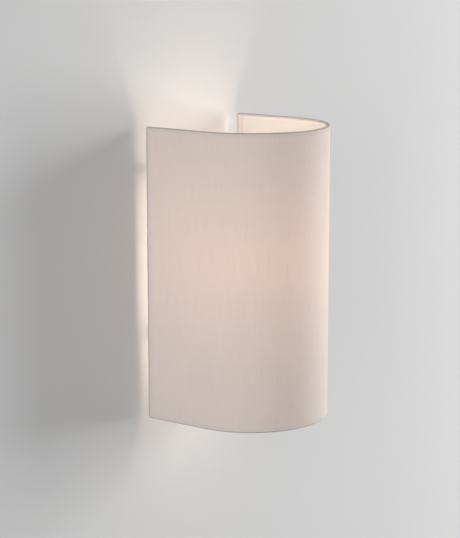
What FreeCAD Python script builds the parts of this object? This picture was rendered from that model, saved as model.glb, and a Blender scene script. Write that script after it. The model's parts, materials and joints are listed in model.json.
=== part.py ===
import FreeCAD, Part
import math
import os

# Fabric shade wall light: a tall half-shade, U-shaped in plan, hung on a steel wall unit that
# carries an upright screw-cap lamp at the shade's middle.
#
# Row frame, in millimetres: X runs to the right along the wall, +Y goes into the wall and +Z is
# up. The origin is on the wall's surface, at the centre of the four fixing slots, level with the
# middle of the shade.

V = FreeCAD.Vector

# ---------------------------------------------------------------- driving dimensions

# Shade
shade_height = 300.0         # over the rolled rims
shade_width = 160.0          # over the rolled rims
shade_side = 72.0            # straight run of each side, rear edge to half circle
wall_gap = 8.0               # rear edges to the wall
cloth = 0.5                  # woven fabric
liner_thick = 0.6            # stiff film behind the fabric
rim_proud = 0.3              # rolled rims stand out from the fabric's face by this
rim_wrap = 0.7               # fabric and glue wrapped round each frame wire
frame_wire_r = 1.2           # rings and uprights
hem_width = 6.4              # fabric turned in at the rear edges
hanging_bar_r = 2.0
rest_lug_length = 19.0
wire_fit = 0.05              # frame wire to the fabric round it

# Wall plate
plate_width = 90.0
plate_height = 230.0
plate_thick = 2.0
plate_corner = 8.0
slot_spacing_x = 60.0
slot_spacing_z = 150.0
slot_r = 2.75
slot_length = 10.0
entry_z = 30.0               # supply cable's hole
entry_hole_r = 8.0

# Bars on the plate
strip_thick = 2.0            # bars and lamp arm
bar_height = 14.0
hanger_z = 95.0              # height of the hanging bar in its hooks
hook_x = 53.0                # middle of each hook from the centre
hook_rise = 9.0              # hook's horns above the hanging bar's centre
hook_horn = 5.0              # front horn's width
hook_gap = 0.3               # round the hanging bar
bar_cover_gap = 5.0          # lower bar, under the terminal cover
stand_off_half = 68.0        # half the lower bar's length
buffer_x = 62.0
buffer_r = 5.0
buffer_stem_r = 2.0
buffer_nose = 1.0            # rounding of its head
buffer_barb = 1.0            # barb stands out from the stem by this
barb_wall_gap = 0.4          # barb's end to the wall
buffer_gap = 0.3             # buffer to the shade's rest lug
hook_bend_r = 1.8            # outer corners where the hooks fold out
hook_nose_r = 1.75           # front corners of the hooks
bar_corner = 5.6             # lower bar's corners
rivet_r = 2.0
rivet_head_r = 3.6
rivet_head_height = 1.6
rivet_sink = 1.2             # countersink in the plate's back
rivet_inset = 20.0           # bar rivets from the centre

# Lamp arm
arm_width = 24.0
arm_leg = 34.0
arm_bend_r = 3.0
arm_rivet_rise = 15.0        # lower rivet above the arm's foot
arm_rivet_pitch = 12.0
nipple_hole_gap = 0.15       # nipple in the arm

# Terminal cover
cover_width = 64.0
cover_height = 96.0
cover_depth = 33.0
cover_wall = 1.6
cover_corner = 5.0
cover_edge = 2.0
tongue_width = 12.0
tongue_length = 12.0
cover_screw_r = 1.75
cover_screw_length = 8.0
cover_screw_head_r = 3.2
cover_screw_head_height = 2.1
cover_screw_y = 7.5          # from the plate's face

# Terminal block
pole_pitch = 10.0
block_width = 32.0
block_height = 17.0
block_depth = 12.0
block_web = 9.0              # webs between the poles, from the block's back
housing_width = 7.6          # round each barrel
screw_sink = 4.0             # wells over the block's fixing screws
standoff_height = 6.0
standoff_r = 3.0
standoff_shank_r = 2.4
barrel_r = 2.6
barrel_bore_r = 1.6
barrel_length = 15.0
barrel_depth = 5.5           # barrel's axis above the block's back
pole_screw_r = 1.3
pole_screw_length = 6.0      # over its head
pole_screw_head_r = 1.75
pole_screw_head = 1.2
pole_screw_z = 4.5
block_screw_r = 1.5
block_screw_head_r = 2.2
block_screw_head_height = 2.0
block_screw_short = 1.0      # its end above the plate's face

# Earth point
earth_x = 14.0
earth_z = -36.0
earth_stud_r = 2.0
earth_stud_length = 14.0
earth_stud_root_r = 2.6
tag_thick = 0.8
tag_r = 4.0
tag_barrel_r = 1.6
tag_barrel_length = 6.0
tag_barrel_sink = 0.3        # barrel's wall below the ring's face
tag_neck = 3.0
tag_reach = 10.0             # ring's centre to the barrel's mouth
crimp_depth = 4.2            # lead's hole in the barrel
washer_thick = 0.8
washer_r = 4.0
washer_teeth = 8
tooth_gap = 0.6
tooth_depth = 0.9
earth_nut_flats = 7.0
earth_nut_height = 3.2

# Leads
lead_r = 0.95
lead_gap = 0.1               # between the two leads in their sleeve
sleeve_bore_r = 2.05
sleeve_wall = 0.5
sleeve_rise = 5.0            # sleeve's end above the cover's floor
sleeve_drop = 1.0            # its other end below the nipple's top
lead_end_z = -2.0            # leads' ends in the barrels
lead_drop_z = -14.0          # where the lamp's leads turn in below the barrels
earth_drop_z = -12.0         # where the earth lead turns in
merge_z = -30.0              # where the lamp's leads lie side by side
lead_y = -24.0               # where the sleeve drops to the arm
loop_low_z = -140.0          # lowest run of the sleeve
loop_rise = 16.0             # loop's corners above that run
loop_step = 14.0             # and in from the two drops
fan_rise = 5.5               # nipple's top to where the leads part
post_approach = 3.0          # straight run below each post
tag_approach = 4.0           # straight run above the tag
lead_end_gap = 0.3           # leads' ends to the floor of their holes
bend_share = 0.45            # of the shorter run, taken by each bend

# Bushes
bush_bore_gap = 0.05
bush_hole_r = 4.4
bush_flange_r = 6.0
bush_flange = 1.5
entry_bore_r = 6.0
entry_flange_r = 10.5
entry_flange = 1.5
bush_chamfer = 0.5

# Lamp holder
nipple_r = 5.0
nipple_bore_r = 3.5
nipple_above = 6.0           # above the arm's top face
nipple_below = 7.0           # below it
nut_flats = 14.0
nut_height = 3.0
nut_washer_r = 8.5
end_chamfer = 0.5            # on the nipple and the earth stud
holder_r = 20.0
holder_wall = 1.8
holder_seat = 36.0           # arm's top face below the lamp's tip
holder_foot_r = 8.0          # base's flat on the arm
holder_shoulder = 10.0       # height of the base's rounded part
holder_dome_inset = 4.2      # how far its rounding bulges
holder_dome_rise = 3.2
holder_collar = 5.5          # threaded boss on the nipple
holder_collar_r = 9.0
holder_hollow_inset = 2.6    # how far the hollow inside bulges
holder_hollow_rise = 1.4
holder_spigot_wall = 2.3     # base's spigot inside the skirt
insert_height = 18.5
insert_above = 4.5           # insert's top above the lamp's tip
insert_ledge = 1.5           # skirt's ledge on the insert
recess_r = 11.0              # well in the insert under the lamp's tip
cap_rim_drop = 4.0           # joint of base and skirt below the insert
skirt_top = 25.5             # above the lamp's tip
skirt_mouth_r = 15.0
skirt_nose = 4.0             # rounding of its upper edge
shell_flange_r = 16.2        # threaded shell's flange on the insert
contact_drop = 3.0           # root of the centre contact below the lamp's tip
contact_width = 6.0
contact_thick = 0.5
contact_gap = 0.3            # centre contact to the lamp's tip
contact_pad = 4.0            # its flat end past the lamp's axis
live_leg_x = -9.5
shell_leg_x = 13.2
post_x = 10.5                # lead terminals from the lamp's axis
post_width = 7.0
post_height = 8.0
post_bore_depth = 7.0
post_bore_gap = 0.2          # lead in its post
post_screw_r = 1.5
post_screw_head_r = 2.5
post_screw_head = 1.6
post_screw_way_r = 2.7       # hole through the insert to each screw

# Lamp
light_z = 2.0                # centre of the globe
globe_r = 30.0
globe_wall = 1.2
bulb_length = 108.0
body_rim_drop = 16.0         # globe's centre to the body's rim
body_wall = 1.6
spigot_inset = 3.4           # globe's spigot inside the body's rim
spigot_depth = 2.0
board_inset = 1.4            # board inside the spigot's radius
spigot_wall = 1.0            # globe's spigot
body_shoulder_r = 13.9
body_floor = 2.0             # floor over the cap's shoulder
neck_rise = 14.0             # body's neck starts above the lamp's tip
neck_gap = 0.15              # neck inside the screw shell
neck_wall = 1.5
body_ledge = 1.2             # under the heat cup's rim
cup_reach = 0.6              # where on the body's curve the heat cup's side starts
cup_gap = 0.6                # heat cup's side to the body
cap_length = 26.5
cap_skirt_r = 13.3
thread_crest_r = 13.05
thread_root_r = 12.13
thread_pitch = 3.62
thread_turns = 4
thread_rise = 7.5            # thread's start above the tip
thread_gap = 0.45            # lamp's thread to the holder's, across the axis
sheet = 0.5                  # pressed screw shells, across the axis
cap_step = 1.2               # height over which the lamp's shell widens above its thread
shell_lip = 0.3              # holder's shell above the thread
button_r = 4.75
button_height = 2.0
button_edge = 1.1            # its domed part
cap_mouth_r = 11.0           # screw shell's mouth round the glass
cap_mouth_rise = 5.4
glass_r = 10.4               # glass insulator
glass_low_r = 5.8
glass_low_rise = 1.3
glass_high_rise = 6.2
glass_bore_r = 0.8
board_thick = 1.6
cup_disc = 1.6
cup_wall = 1.0
chip_count = 12
chip_size = 3.0
chip_height = 0.8
chip_ring_r = 14.0
driver_thick = 1.2
driver_top = 28.0            # below the globe's centre
driver_bottom = 10.0         # above the lamp's tip
capacitor_r = 4.0
capacitor_height = 13.0
capacitor_x = -3.0
capacitor_rise = 2.5         # above the cap's shoulder
core_width = 9.0             # transformer's core, a cube of about this size
core_depth = 8.0
core_height = 9.0
core_rise = 3.0
winding_r = 3.2
core_cheek = 2.0             # core's end plates
bulb_wire_r = 0.4
riser_x = 3.0                # driver's leads to the board
riser_way_r = 1.0

# Shared by many pieces
fit = 0.05                   # screws, spigots and bushes in their holes
screw_way_gap = 0.1          # screw heads in their wells
cut_over = 1.0               # cutting shapes reach past faces by this
arc_middle = 1 - math.sqrt(0.5)          # a round corner's middle, as a share of its radius

# ---------------------------------------------------------------- worked-out places

half_width = shade_width / 2
half_height = shade_height / 2
centre_y = -(wall_gap + shade_side)      # axis of the shade's half circle and of the lamp
roll_r = frame_wire_r + rim_wrap         # rolled rim
wire_x = half_width - roll_r
wire_y = -(wall_gap + roll_r)
ring_z = half_height - roll_r
liner_inset = rim_proud + cloth
inner_inset = liner_inset + liner_thick

plate_face = -plate_thick
strip_face = plate_face - strip_thick
tip_z = light_z + globe_r - bulb_length
arm_top = tip_z - holder_seat
arm_low = arm_top - strip_thick
cover_front = plate_face - cover_depth
barrel_y = plate_face - standoff_height - barrel_depth
lead_offset = lead_r + lead_gap / 2
sleeve_r = sleeve_bore_r + sleeve_wall
body_rim_z = light_z - body_rim_drop
shoulder_z = tip_z + cap_length
thread_low = tip_z + thread_rise
thread_high = thread_low + thread_turns * thread_pitch
insert_top = tip_z + insert_above
insert_low = insert_top - insert_height
tongue_z = cover_height / 2 - cover_wall
stand_off_z = -(cover_height / 2 + bar_cover_gap + bar_height / 2)
fan_z = arm_top + nipple_above + fan_rise
tag_axis_y = plate_face - tag_thick - tag_barrel_r + tag_barrel_sink
tag_mouth_z = earth_z + tag_reach
contact_floor = tip_z - contact_drop
post_top = insert_low + post_height
post_screw_z = insert_low + post_height / 2
skirt_bore_r = holder_r - holder_wall
insert_r = skirt_bore_r - 2 * fit
cap_rim_z = insert_low - cap_rim_drop
thread_middle = (thread_crest_r + thread_root_r) / 2
globe_rim_r = math.sqrt(globe_r ** 2 - body_rim_drop ** 2)      # where the globe meets the body
neck_r = thread_root_r - sheet - neck_gap
neck_bore_r = neck_r - neck_wall
globe_spigot_r = globe_rim_r - spigot_inset
globe_spigot_z = body_rim_z - spigot_depth
board_r = globe_spigot_r - board_inset
cup_top = globe_spigot_z - board_thick
cup_rest = cup_top - cup_disc
driver_low = tip_z + driver_bottom
driver_high = light_z - driver_top
driver_half = math.sqrt(neck_bore_r ** 2 - (driver_thick / 2) ** 2) - 2 * fit


# ---------------------------------------------------------------- shape helpers

def box(low, high):
    """A block between two corners."""
    return Part.makeBox(high[0] - low[0], high[1] - low[1], high[2] - low[2], V(*low))


def rod(radius, start, along):
    """A round bar from a point, along a vector."""
    return Part.makeCylinder(radius, V(*along).Length, V(*start), V(*along))


def joined(first, *others):
    """One solid from pieces that touch."""
    return first.fuse(list(others)).removeSplitter()


def eased(solid, radius, chosen):
    """Rounds the edges that a test picks."""
    return solid.makeFillet(radius, [edge for edge in solid.Edges if chosen(edge)])


def runs_along(axis):
    """A test for straight edges parallel to an axis."""
    def test(edge):
        if not isinstance(edge.Curve, Part.Line):
            return False
        return abs(abs(edge.Curve.Direction.dot(V(*axis))) - 1) < 1e-6
    return test


def outline(start, *moves):
    """A face in the XZ plane from a start and moves.

    A move is an end point, an arc's middle and end, or a curve's two handles and end."""
    edges = []
    here = V(start[0], 0, start[1])
    for move in moves + (start,):
        end = V(move[-2], 0, move[-1])
        if len(move) == 6:
            curve = Part.BezierCurve()
            curve.setPoles([here, V(move[0], 0, move[1]), V(move[2], 0, move[3]), end])
            edges.append(curve.toShape())
        elif len(move) == 4:
            edges.append(Part.Arc(here, V(move[0], 0, move[1]), end).toShape())
        elif (end - here).Length > 1e-6:
            edges.append(Part.makeLine(here, end))
        here = end
    return Part.Face(Part.Wire(edges))


def turned(start, *moves):
    """A lathe piece about Z from an outline of (radius, height)."""
    return outline(start, *moves).revolve(V(0, 0, 0), V(0, 0, 1), 360)


def pointed(solid, place, axis=(0, 0, 1)):
    """Turns a piece made along +Z to an axis and moves its origin to a place."""
    moved = solid.copy()
    turn = FreeCAD.Placement(V(*place), FreeCAD.Rotation(V(0, 0, 1), V(*axis)))
    moved.Placement = turn.multiply(moved.Placement)
    return moved


def on_lamp(solid):
    """Moves a piece made about the origin's Z axis to the lamp's axis."""
    return pointed(solid, (0, centre_y, 0))


def dome(radius, low, high):
    """The move from a round edge at low, over a cap of a sphere, to its top on the axis."""
    rise = high - low
    ball = (radius ** 2 + rise ** 2) / (2 * rise)
    half_turn = math.asin(radius / ball) / 2
    return (ball * math.sin(half_turn), high - math.copysign(ball * (1 - math.cos(half_turn)), rise), 0, high)


def round_corner(radius, x, z):
    """The move over a round outer corner, from below (x, z) to beside it."""
    drop = arc_middle * radius
    return (x - drop, z - drop, x - radius, z)


def hexagon(flats, height, bore):
    """A nut standing on z = 0."""
    corner = flats / math.sqrt(3)
    points = [V(corner * math.cos(math.radians(60 * k)), corner * math.sin(math.radians(60 * k)), 0)
              for k in range(7)]
    blank = Part.Face(Part.makePolygon(points)).extrude(V(0, 0, height))
    chamfer = min(0.12 * flats, 0.25 * height)
    blunt = turned((0, 0), (corner - chamfer, 0), (corner, chamfer), (corner, height - chamfer),
                   (corner - chamfer, height), (0, height))
    return blank.common(blunt).cut(rod(bore, (0, 0, -cut_over), (0, 0, height + 2 * cut_over)))


def screw(radius, length, head_r, head_height):
    """A slotted screw with its head's seat at z = 0 and its shank below."""
    rounding = 0.4 * head_height
    solid = turned((0, -length), (0.7 * radius, -length), (radius, -length + 0.5 * radius),
                   (radius, 0), (head_r, 0), (head_r, head_height - rounding),
                   round_corner(rounding, head_r, head_height), (0, head_height))
    depth = 0.45 * head_height
    slot_half = 0.12 * head_r
    return solid.cut(box((-2 * head_r, -slot_half, head_height - depth),
                         (2 * head_r, slot_half, head_height + cut_over)))


def rivet(grip):
    """A domed rivet, head above z = 0, countersunk flush at z = -grip."""
    sunk_r = rivet_r + rivet_sink
    return turned((0, -grip), (sunk_r, -grip), (rivet_r, -grip + rivet_sink), (rivet_r, 0),
                  (rivet_head_r, 0), dome(rivet_head_r, 0, rivet_head_height))


def rivet_hole(grip):
    """The countersunk hole that a rivet fills."""
    sunk_r = rivet_r + rivet_sink + fit
    return turned((0, -grip - cut_over), (sunk_r, -grip - cut_over), (sunk_r, -grip),
                  (rivet_r + fit, -grip + rivet_sink), (rivet_r + fit, cut_over), (0, cut_over))


def bush(hole_r, bore_r, flange_r, flange, wall):
    """A two-flanged grommet for a wall of this thickness, which starts at z = 0."""
    waist = hole_r - fit
    top = wall + flange
    return turned((bore_r, -flange), (flange_r - bush_chamfer, -flange), (flange_r, -flange + bush_chamfer),
                  (flange_r, 0), (waist, 0), (waist, wall), (flange_r, wall),
                  (flange_r, top - bush_chamfer), (flange_r - bush_chamfer, top), (bore_r, top))


def slot(x, z, length, radius, deep):
    """A round-ended hole through the plate, along X."""
    straight = length / 2 - radius
    middle = box((x - straight, -deep, z - radius), (x + straight, deep, z + radius))
    ends = [rod(radius, (x + side * straight, -deep, z), (0, 2 * deep, 0)) for side in (-1, 1)]
    return joined(middle, *ends)


def u_edges(inset, rear, z):
    """The shade's plan at an inset from its outline: side, half circle, side."""
    reach = half_width - inset
    return [Part.makeLine(V(-reach, rear, z), V(-reach, centre_y, z)),
            Part.Arc(V(-reach, centre_y, z), V(0, centre_y - reach, z), V(reach, centre_y, z)).toShape(),
            Part.makeLine(V(reach, centre_y, z), V(reach, rear, z))]


def u_band(outer, inner, rear, low, high):
    """An upright wall on the shade's plan, between two insets from its outline."""
    edges = u_edges(outer, rear, low) + u_edges(inner, rear, low)
    for side in (-1, 1):
        edges.append(Part.makeLine(V(side * (half_width - outer), rear, low),
                                   V(side * (half_width - inner), rear, low)))
    return Part.Face(Part.Wire(Part.__sortEdges__(edges))).extrude(V(0, 0, high - low))


def u_rod(radius, rear, z):
    """A round bar on the frame wires' plan line, from rear end to rear end."""
    side_length = rear - centre_y
    sides = [rod(radius, (side * wire_x, centre_y, z), (0, side_length, 0)) for side in (-1, 1)]
    section = Part.Face(Part.Wire(Part.makeCircle(radius, V(wire_x, centre_y, z), V(0, 1, 0))))
    front = section.revolve(V(0, centre_y, z), V(0, 0, 1), -180)
    return joined(front, *sides)


def route(points):
    """Straight runs joined by tangent arcs, each as large as its two runs allow."""
    corners = [V(*point) for point in points]
    start = corners[0]
    edges = []
    radii = []
    for before, corner, after in zip(corners, corners[1:], corners[2:]):
        back = before - corner
        ahead = after - corner
        reach = bend_share * min(back.Length, ahead.Length)
        back.normalize()
        ahead.normalize()
        turn = math.pi - back.getAngle(ahead)
        radius = reach / math.tan(turn / 2)
        inwards = (back + ahead).normalize()
        middle = corner + inwards * (reach / math.sin(turn / 2) - radius)
        edges.append(Part.makeLine(start, corner + back * reach))
        edges.append(Part.Arc(corner + back * reach, middle, corner + ahead * reach).toShape())
        start = corner + ahead * reach
        radii.append(round(radius, 1))
    edges.append(Part.makeLine(start, corners[-1]))
    return Part.Wire(edges), radii


def bent_wire(points, radius):
    """A round wire along a route."""
    path, radii = route(points)
    along = V(*points[1]) - V(*points[0])
    section = Part.Wire(Part.makeCircle(radius, V(*points[0]), along))
    return path.makePipeShell([section], True, False), radii


def save(name, *solids):
    """Writes one node: a solid, or a group of separate solids."""
    shape = solids[0] if len(solids) == 1 else Part.makeCompound(list(solids))
    shape.exportStep("parts/" + name + ".step")
    print(name, len(shape.Solids), "valid" if shape.isValid() else "NOT VALID", round(shape.Volume, 1))


# ---------------------------------------------------------------- shade

def hanging_bar():
    """The wire across the back that hangs in the wall unit's hooks."""
    reach = wire_x - frame_wire_r
    return rod(hanging_bar_r, (-reach, wire_y, hanger_z), (2 * reach, 0, 0))


def rest_lugs(radius):
    """Short wires that reach in from the uprights to rest on the buffers."""
    start = wire_x - frame_wire_r
    return [rod(radius, (side * start, wire_y, stand_off_z), (-side * rest_lug_length, 0, 0))
            for side in (-1, 1)]


def uprights(radius, reach):
    """The two rear wires, to a height each way."""
    return [rod(radius, (side * wire_x, wire_y, -reach), (0, 0, 2 * reach)) for side in (-1, 1)]


def fabric_section(bore_r):
    """The wall and its two rolled rims, cut across at the right-hand end of the half circle."""
    wall = outline((half_width - liner_inset, -ring_z), (half_width - rim_proud, -ring_z),
                   (half_width - rim_proud, ring_z), (half_width - liner_inset, ring_z))
    wall.translate(V(0, centre_y, 0))
    rolls = []
    bores = []
    for z in (-ring_z, ring_z):
        for radius, discs in ((roll_r, rolls), (bore_r, bores)):
            edge = Part.makeCircle(radius, V(wire_x, centre_y, z), V(0, -1, 0))
            discs.append(Part.Face(Part.Wire(edge)))
    return wall.fuse(rolls).removeSplitter().cut(bores).Faces[0]


def fabric():
    """The fabric: its wall, rolled rims, and side hems turned in round the uprights."""
    bore_r = frame_wire_r + wire_fit
    section = fabric_section(bore_r)
    front = section.revolve(V(0, centre_y, 0), V(0, 0, 1), -180)
    right = section.extrude(V(0, -wall_gap - centre_y, 0))
    left = right.mirror(V(0, 0, 0), V(1, 0, 0))
    side_rolls = uprights(roll_r, ring_z + roll_r)
    hem_x = half_width - inner_inset
    hems = [box((min(side * (hem_x - cloth), side * hem_x), -wall_gap - hem_width, -ring_z),
                (max(side * (hem_x - cloth), side * hem_x), wire_y, ring_z)) for side in (-1, 1)]
    ends = [box((min(side * half_width, side * hem_x), wire_y, -ring_z),
                (max(side * half_width, side * hem_x), 0, ring_z)) for side in (-1, 1)]
    sides = [right.cut(ends + uprights(bore_r, ring_z)), left.cut(ends + uprights(bore_r, ring_z))]
    bores = uprights(bore_r, ring_z)
    bores += [rod(bore_r, (side * wire_x, wire_y - hem_width, z), (0, hem_width + frame_wire_r, 0))
              for side in (-1, 1) for z in (-ring_z, ring_z)]
    slits = [rod(hanging_bar_r + wire_fit, (-wire_x, wire_y, hanger_z), (2 * wire_x, 0, 0))]
    slits += [rod(frame_wire_r + wire_fit, (-wire_x, wire_y, stand_off_z), (2 * wire_x, 0, 0))]
    return joined(front, *sides, *side_rolls, *hems).cut(bores + slits)


def make_shade():
    save("shade_fabric", fabric())
    save("shade_liner", u_band(liner_inset, inner_inset, wire_y - roll_r, roll_r - ring_z, ring_z - roll_r))
    save("top_ring", u_rod(frame_wire_r, -wall_gap - rim_wrap, ring_z))
    save("bottom_ring", u_rod(frame_wire_r, -wall_gap - rim_wrap, -ring_z))
    left, right = uprights(frame_wire_r, ring_z - frame_wire_r)
    save("left_upright", left)
    save("right_upright", right)
    save("hanging_bar", hanging_bar())
    save("rest_lugs", *rest_lugs(frame_wire_r))


# ---------------------------------------------------------------- wall plate and bars

def bar_rivet_places():
    return [(side * rivet_inset, z) for z in (hanger_z, stand_off_z) for side in (-1, 1)]


def arm_rivet_places():
    return [(0, arm_low + arm_rivet_rise + k * arm_rivet_pitch) for k in (0, 1)]


def block_screw_places():
    return [(side * pole_pitch / 2, 0) for side in (-1, 1)]


def through_plate(radius, x, z):
    """A plain round hole through the plate."""
    return rod(radius, (x, -2 * plate_thick, z), (0, 3 * plate_thick, 0))


def rivet_cuts(places, back):
    """Countersunk rivet holes whose heads sit on the face at back."""
    return [pointed(rivet_hole(-back), (x, back, z), (0, -1, 0)) for x, z in places]


def rivets(places, back):
    return [pointed(rivet(-back), (x, back, z), (0, -1, 0)) for x, z in places]


def wall_plate():
    """The steel plate on the wall, with two tongues folded out for the terminal cover."""
    blank = box((-plate_width / 2, plate_face, -plate_height / 2), (plate_width / 2, 0, plate_height / 2))
    plate = eased(blank, plate_corner, runs_along((0, 1, 0)))
    cuts = [slot(x * slot_spacing_x / 2, z * slot_spacing_z / 2, slot_length, slot_r, 2 * plate_thick)
            for x in (-1, 1) for z in (-1, 1)]
    cuts.append(through_plate(entry_hole_r, 0, entry_z))
    cuts.append(through_plate(earth_stud_root_r + fit, earth_x, earth_z))
    cuts += [through_plate(standoff_shank_r + fit, x, z) for x, z in block_screw_places()]
    cuts += rivet_cuts(bar_rivet_places() + arm_rivet_places(), strip_face)
    tongues = []
    for side in (-1, 1):
        inner = side * (tongue_z - plate_thick)
        outer = side * tongue_z
        low, high = min(inner, outer), max(inner, outer)
        tongue = box((-tongue_width / 2, plate_face - tongue_length, low), (tongue_width / 2, 0, high))
        hole = rod(cover_screw_r + fit, (0, plate_face - cover_screw_y, low - cut_over),
                   (0, 0, high - low + 2 * cut_over))
        tongues.append(tongue.cut(hole))
        far = outer + side * tongue_length
        cuts.append(box((-tongue_width / 2, -2 * plate_thick, min(outer, far)),
                        (tongue_width / 2, plate_thick, max(outer, far))))
    return joined(plate.cut(cuts), *tongues)


def hanger_bar():
    """The upper bar, with a hook folded out at each end for the shade's hanging bar."""
    outer = hook_x + strip_thick / 2
    low, high = hanger_z - bar_height / 2, hanger_z + hook_rise
    front = wire_y - hanging_bar_r - hook_gap - hook_horn
    strip = box((-outer, strip_face, low), (outer, plate_face, low + bar_height))
    hooks = [box((side * hook_x - strip_thick / 2, front, low),
                 (side * hook_x + strip_thick / 2, plate_face, high)) for side in (-1, 1)]
    bar = joined(strip, *hooks)
    bar = eased(bar, min(hook_bend_r, 0.9 * strip_thick), lambda edge: runs_along((0, 0, 1))(edge)
                and abs(edge.CenterOfMass.y - plate_face) < 1e-6 and abs(edge.CenterOfMass.x) > outer - 1e-6)
    bar = eased(bar, min(hook_nose_r, 0.45 * hook_horn), lambda edge: runs_along((1, 0, 0))(edge)
                and abs(edge.CenterOfMass.y - front) < 1e-6)
    notch_r = hanging_bar_r + hook_gap
    notch = joined(rod(notch_r, (-2 * outer, wire_y, hanger_z), (4 * outer, 0, 0)),
                   box((-2 * outer, wire_y - notch_r, hanger_z),
                       (2 * outer, wire_y + notch_r, high + cut_over)))
    mouth = pointed(box((-2 * outer, -notch_r, -notch_r), (2 * outer, notch_r, notch_r)), (0, wire_y, high))
    mouth.rotate(V(0, wire_y, high), V(1, 0, 0), 45)
    return bar.cut([notch, mouth] + rivet_cuts(bar_rivet_places()[:2], strip_face))


def stand_off_bar():
    """The lower bar, which holds a buffer behind each side of the shade."""
    bar = box((-stand_off_half, strip_face, stand_off_z - bar_height / 2),
              (stand_off_half, plate_face, stand_off_z + bar_height / 2))
    bar = eased(bar, min(bar_corner, 0.45 * bar_height), runs_along((0, 1, 0)))
    holes = [rod(buffer_stem_r + fit, (side * buffer_x, 2 * strip_face, stand_off_z), (0, -2 * strip_face, 0))
             for side in (-1, 1)]
    return bar.cut(holes + rivet_cuts(bar_rivet_places()[2:], strip_face))


def buffers():
    """Push-in rubber buffers: head in front of the bar, stem through it, barb behind."""
    head = -(wire_y + frame_wire_r + buffer_gap) + strip_face
    barb_r = buffer_stem_r + buffer_barb
    barb = -plate_face - barb_wall_gap
    solid = turned((0, -strip_thick - barb), (0.6 * buffer_stem_r, -strip_thick - barb),
                   (barb_r, -strip_thick - 0.3 * barb), (barb_r, -strip_thick),
                   (buffer_stem_r, -strip_thick), (buffer_stem_r, 0), (buffer_r, 0),
                   (buffer_r, head - buffer_nose), round_corner(buffer_nose, buffer_r, head), (0, head))
    return [pointed(solid, (side * buffer_x, strip_face, stand_off_z), (0, -1, 0)) for side in (-1, 1)]


def lamp_arm():
    """The folded arm: a leg riveted to the plate and a tongue out to the lamp's axis."""
    half = arm_width / 2
    leg = box((-half, strip_face, arm_low), (half, plate_face, arm_low + arm_leg))
    tongue = box((-half, centre_y, arm_low), (half, plate_face, arm_top))
    nose = rod(half, (0, centre_y, arm_low), (0, 0, strip_thick))
    bend_y, bend_z = strip_face - arm_bend_r, arm_top + arm_bend_r
    corner = box((-half, bend_y, arm_top), (half, strip_face, bend_z))
    corner = corner.cut(rod(arm_bend_r, (-2 * half, bend_y, bend_z), (4 * half, 0, 0)))
    arm = joined(leg, tongue, nose, corner)
    arm = eased(arm, arm_bend_r + strip_thick, lambda edge: runs_along((1, 0, 0))(edge)
                and abs(edge.CenterOfMass.y - plate_face) < 1e-6 and edge.CenterOfMass.z < arm_top)
    holes = [rod(radius, (0, y, arm_low - cut_over), (0, 0, strip_thick + 2 * cut_over))
             for radius, y in ((nipple_r + nipple_hole_gap, centre_y), (bush_hole_r, lead_y))]
    return arm.cut(holes + rivet_cuts(arm_rivet_places(), strip_face))


def make_wall_unit():
    save("wall_plate", wall_plate())
    save("hanger_bar", hanger_bar())
    save("stand_off_bar", stand_off_bar())
    save("stand_off_buffers", *buffers())
    save("bar_rivets", *rivets(bar_rivet_places(), strip_face))
    save("lamp_arm", lamp_arm())
    save("arm_rivets", *rivets(arm_rivet_places(), strip_face))


# ---------------------------------------------------------------- terminals and cover

def entry_bush():
    """The push-in bush in the supply cable's hole, flush with the wall behind."""
    waist = entry_hole_r - fit
    solid = turned((entry_bore_r, -plate_thick), (waist, -plate_thick), (waist, 0), (entry_flange_r, 0),
                   (entry_flange_r, entry_flange - bush_chamfer),
                   (entry_flange_r - bush_chamfer, entry_flange),
                   (entry_bore_r + bush_chamfer, entry_flange), (entry_bore_r, entry_flange - bush_chamfer))
    return pointed(solid, (0, plate_face, entry_z), (0, -1, 0))


def pole_xs():
    return [pole_pitch * k for k in (-1, 0, 1)]


def pole_screw_places():
    return [(x, z) for x in pole_xs() for z in (-pole_screw_z, pole_screw_z)]


def terminal_block():
    """The three-pole block: a housing over each barrel, joined by webs."""
    back = plate_face - standoff_height
    front = back - block_depth
    half = housing_width / 2
    top = block_height / 2
    web = box((-block_width / 2, back - block_web, -top), (block_width / 2, back, top))
    housings = [box((x - half, front, -top), (x + half, back, top)) for x in pole_xs()]
    cuts = [rod(barrel_r + fit, (x, barrel_y, -block_height), (0, 0, 2 * block_height)) for x in pole_xs()]
    cuts += [rod(pole_screw_head_r + screw_way_gap, (x, front - cut_over, z),
                 (0, barrel_y - front + cut_over, 0)) for x, z in pole_screw_places()]
    for radius, depth in ((block_screw_r + fit, 2 * block_depth),
                          (block_screw_head_r + screw_way_gap, screw_sink)):
        cuts += [rod(radius, (x, front - cut_over, z), (0, depth, 0)) for x, z in block_screw_places()]
    return joined(web, *housings).cut(cuts)


def terminal_barrels():
    """Brass barrels, each bored for the wires and tapped for two screws."""
    solids = []
    for x in pole_xs():
        tube = rod(barrel_r, (x, barrel_y, -barrel_length / 2), (0, 0, barrel_length))
        bores = [rod(barrel_bore_r, (x, barrel_y, -barrel_length), (0, 0, 2 * barrel_length))]
        bores += [rod(pole_screw_r + fit, (x, barrel_y - 2 * barrel_r, z), (0, 2 * barrel_r, 0))
                  for z in (-pole_screw_z, pole_screw_z)]
        solids.append(tube.cut(bores))
    return solids


def terminal_screws():
    """Clamp screws, driven down to the wires on the lamp's side and left open on the other."""
    shank = pole_screw_length - pole_screw_head
    solid = screw(pole_screw_r, shank, pole_screw_head_r, pole_screw_head)
    solids = []
    for x, z in pole_screw_places():
        bite = lead_r if z < 0 else barrel_bore_r
        solids.append(pointed(solid, (x, barrel_y - bite - fit - shank, z), (0, -1, 0)))
    return solids


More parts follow.
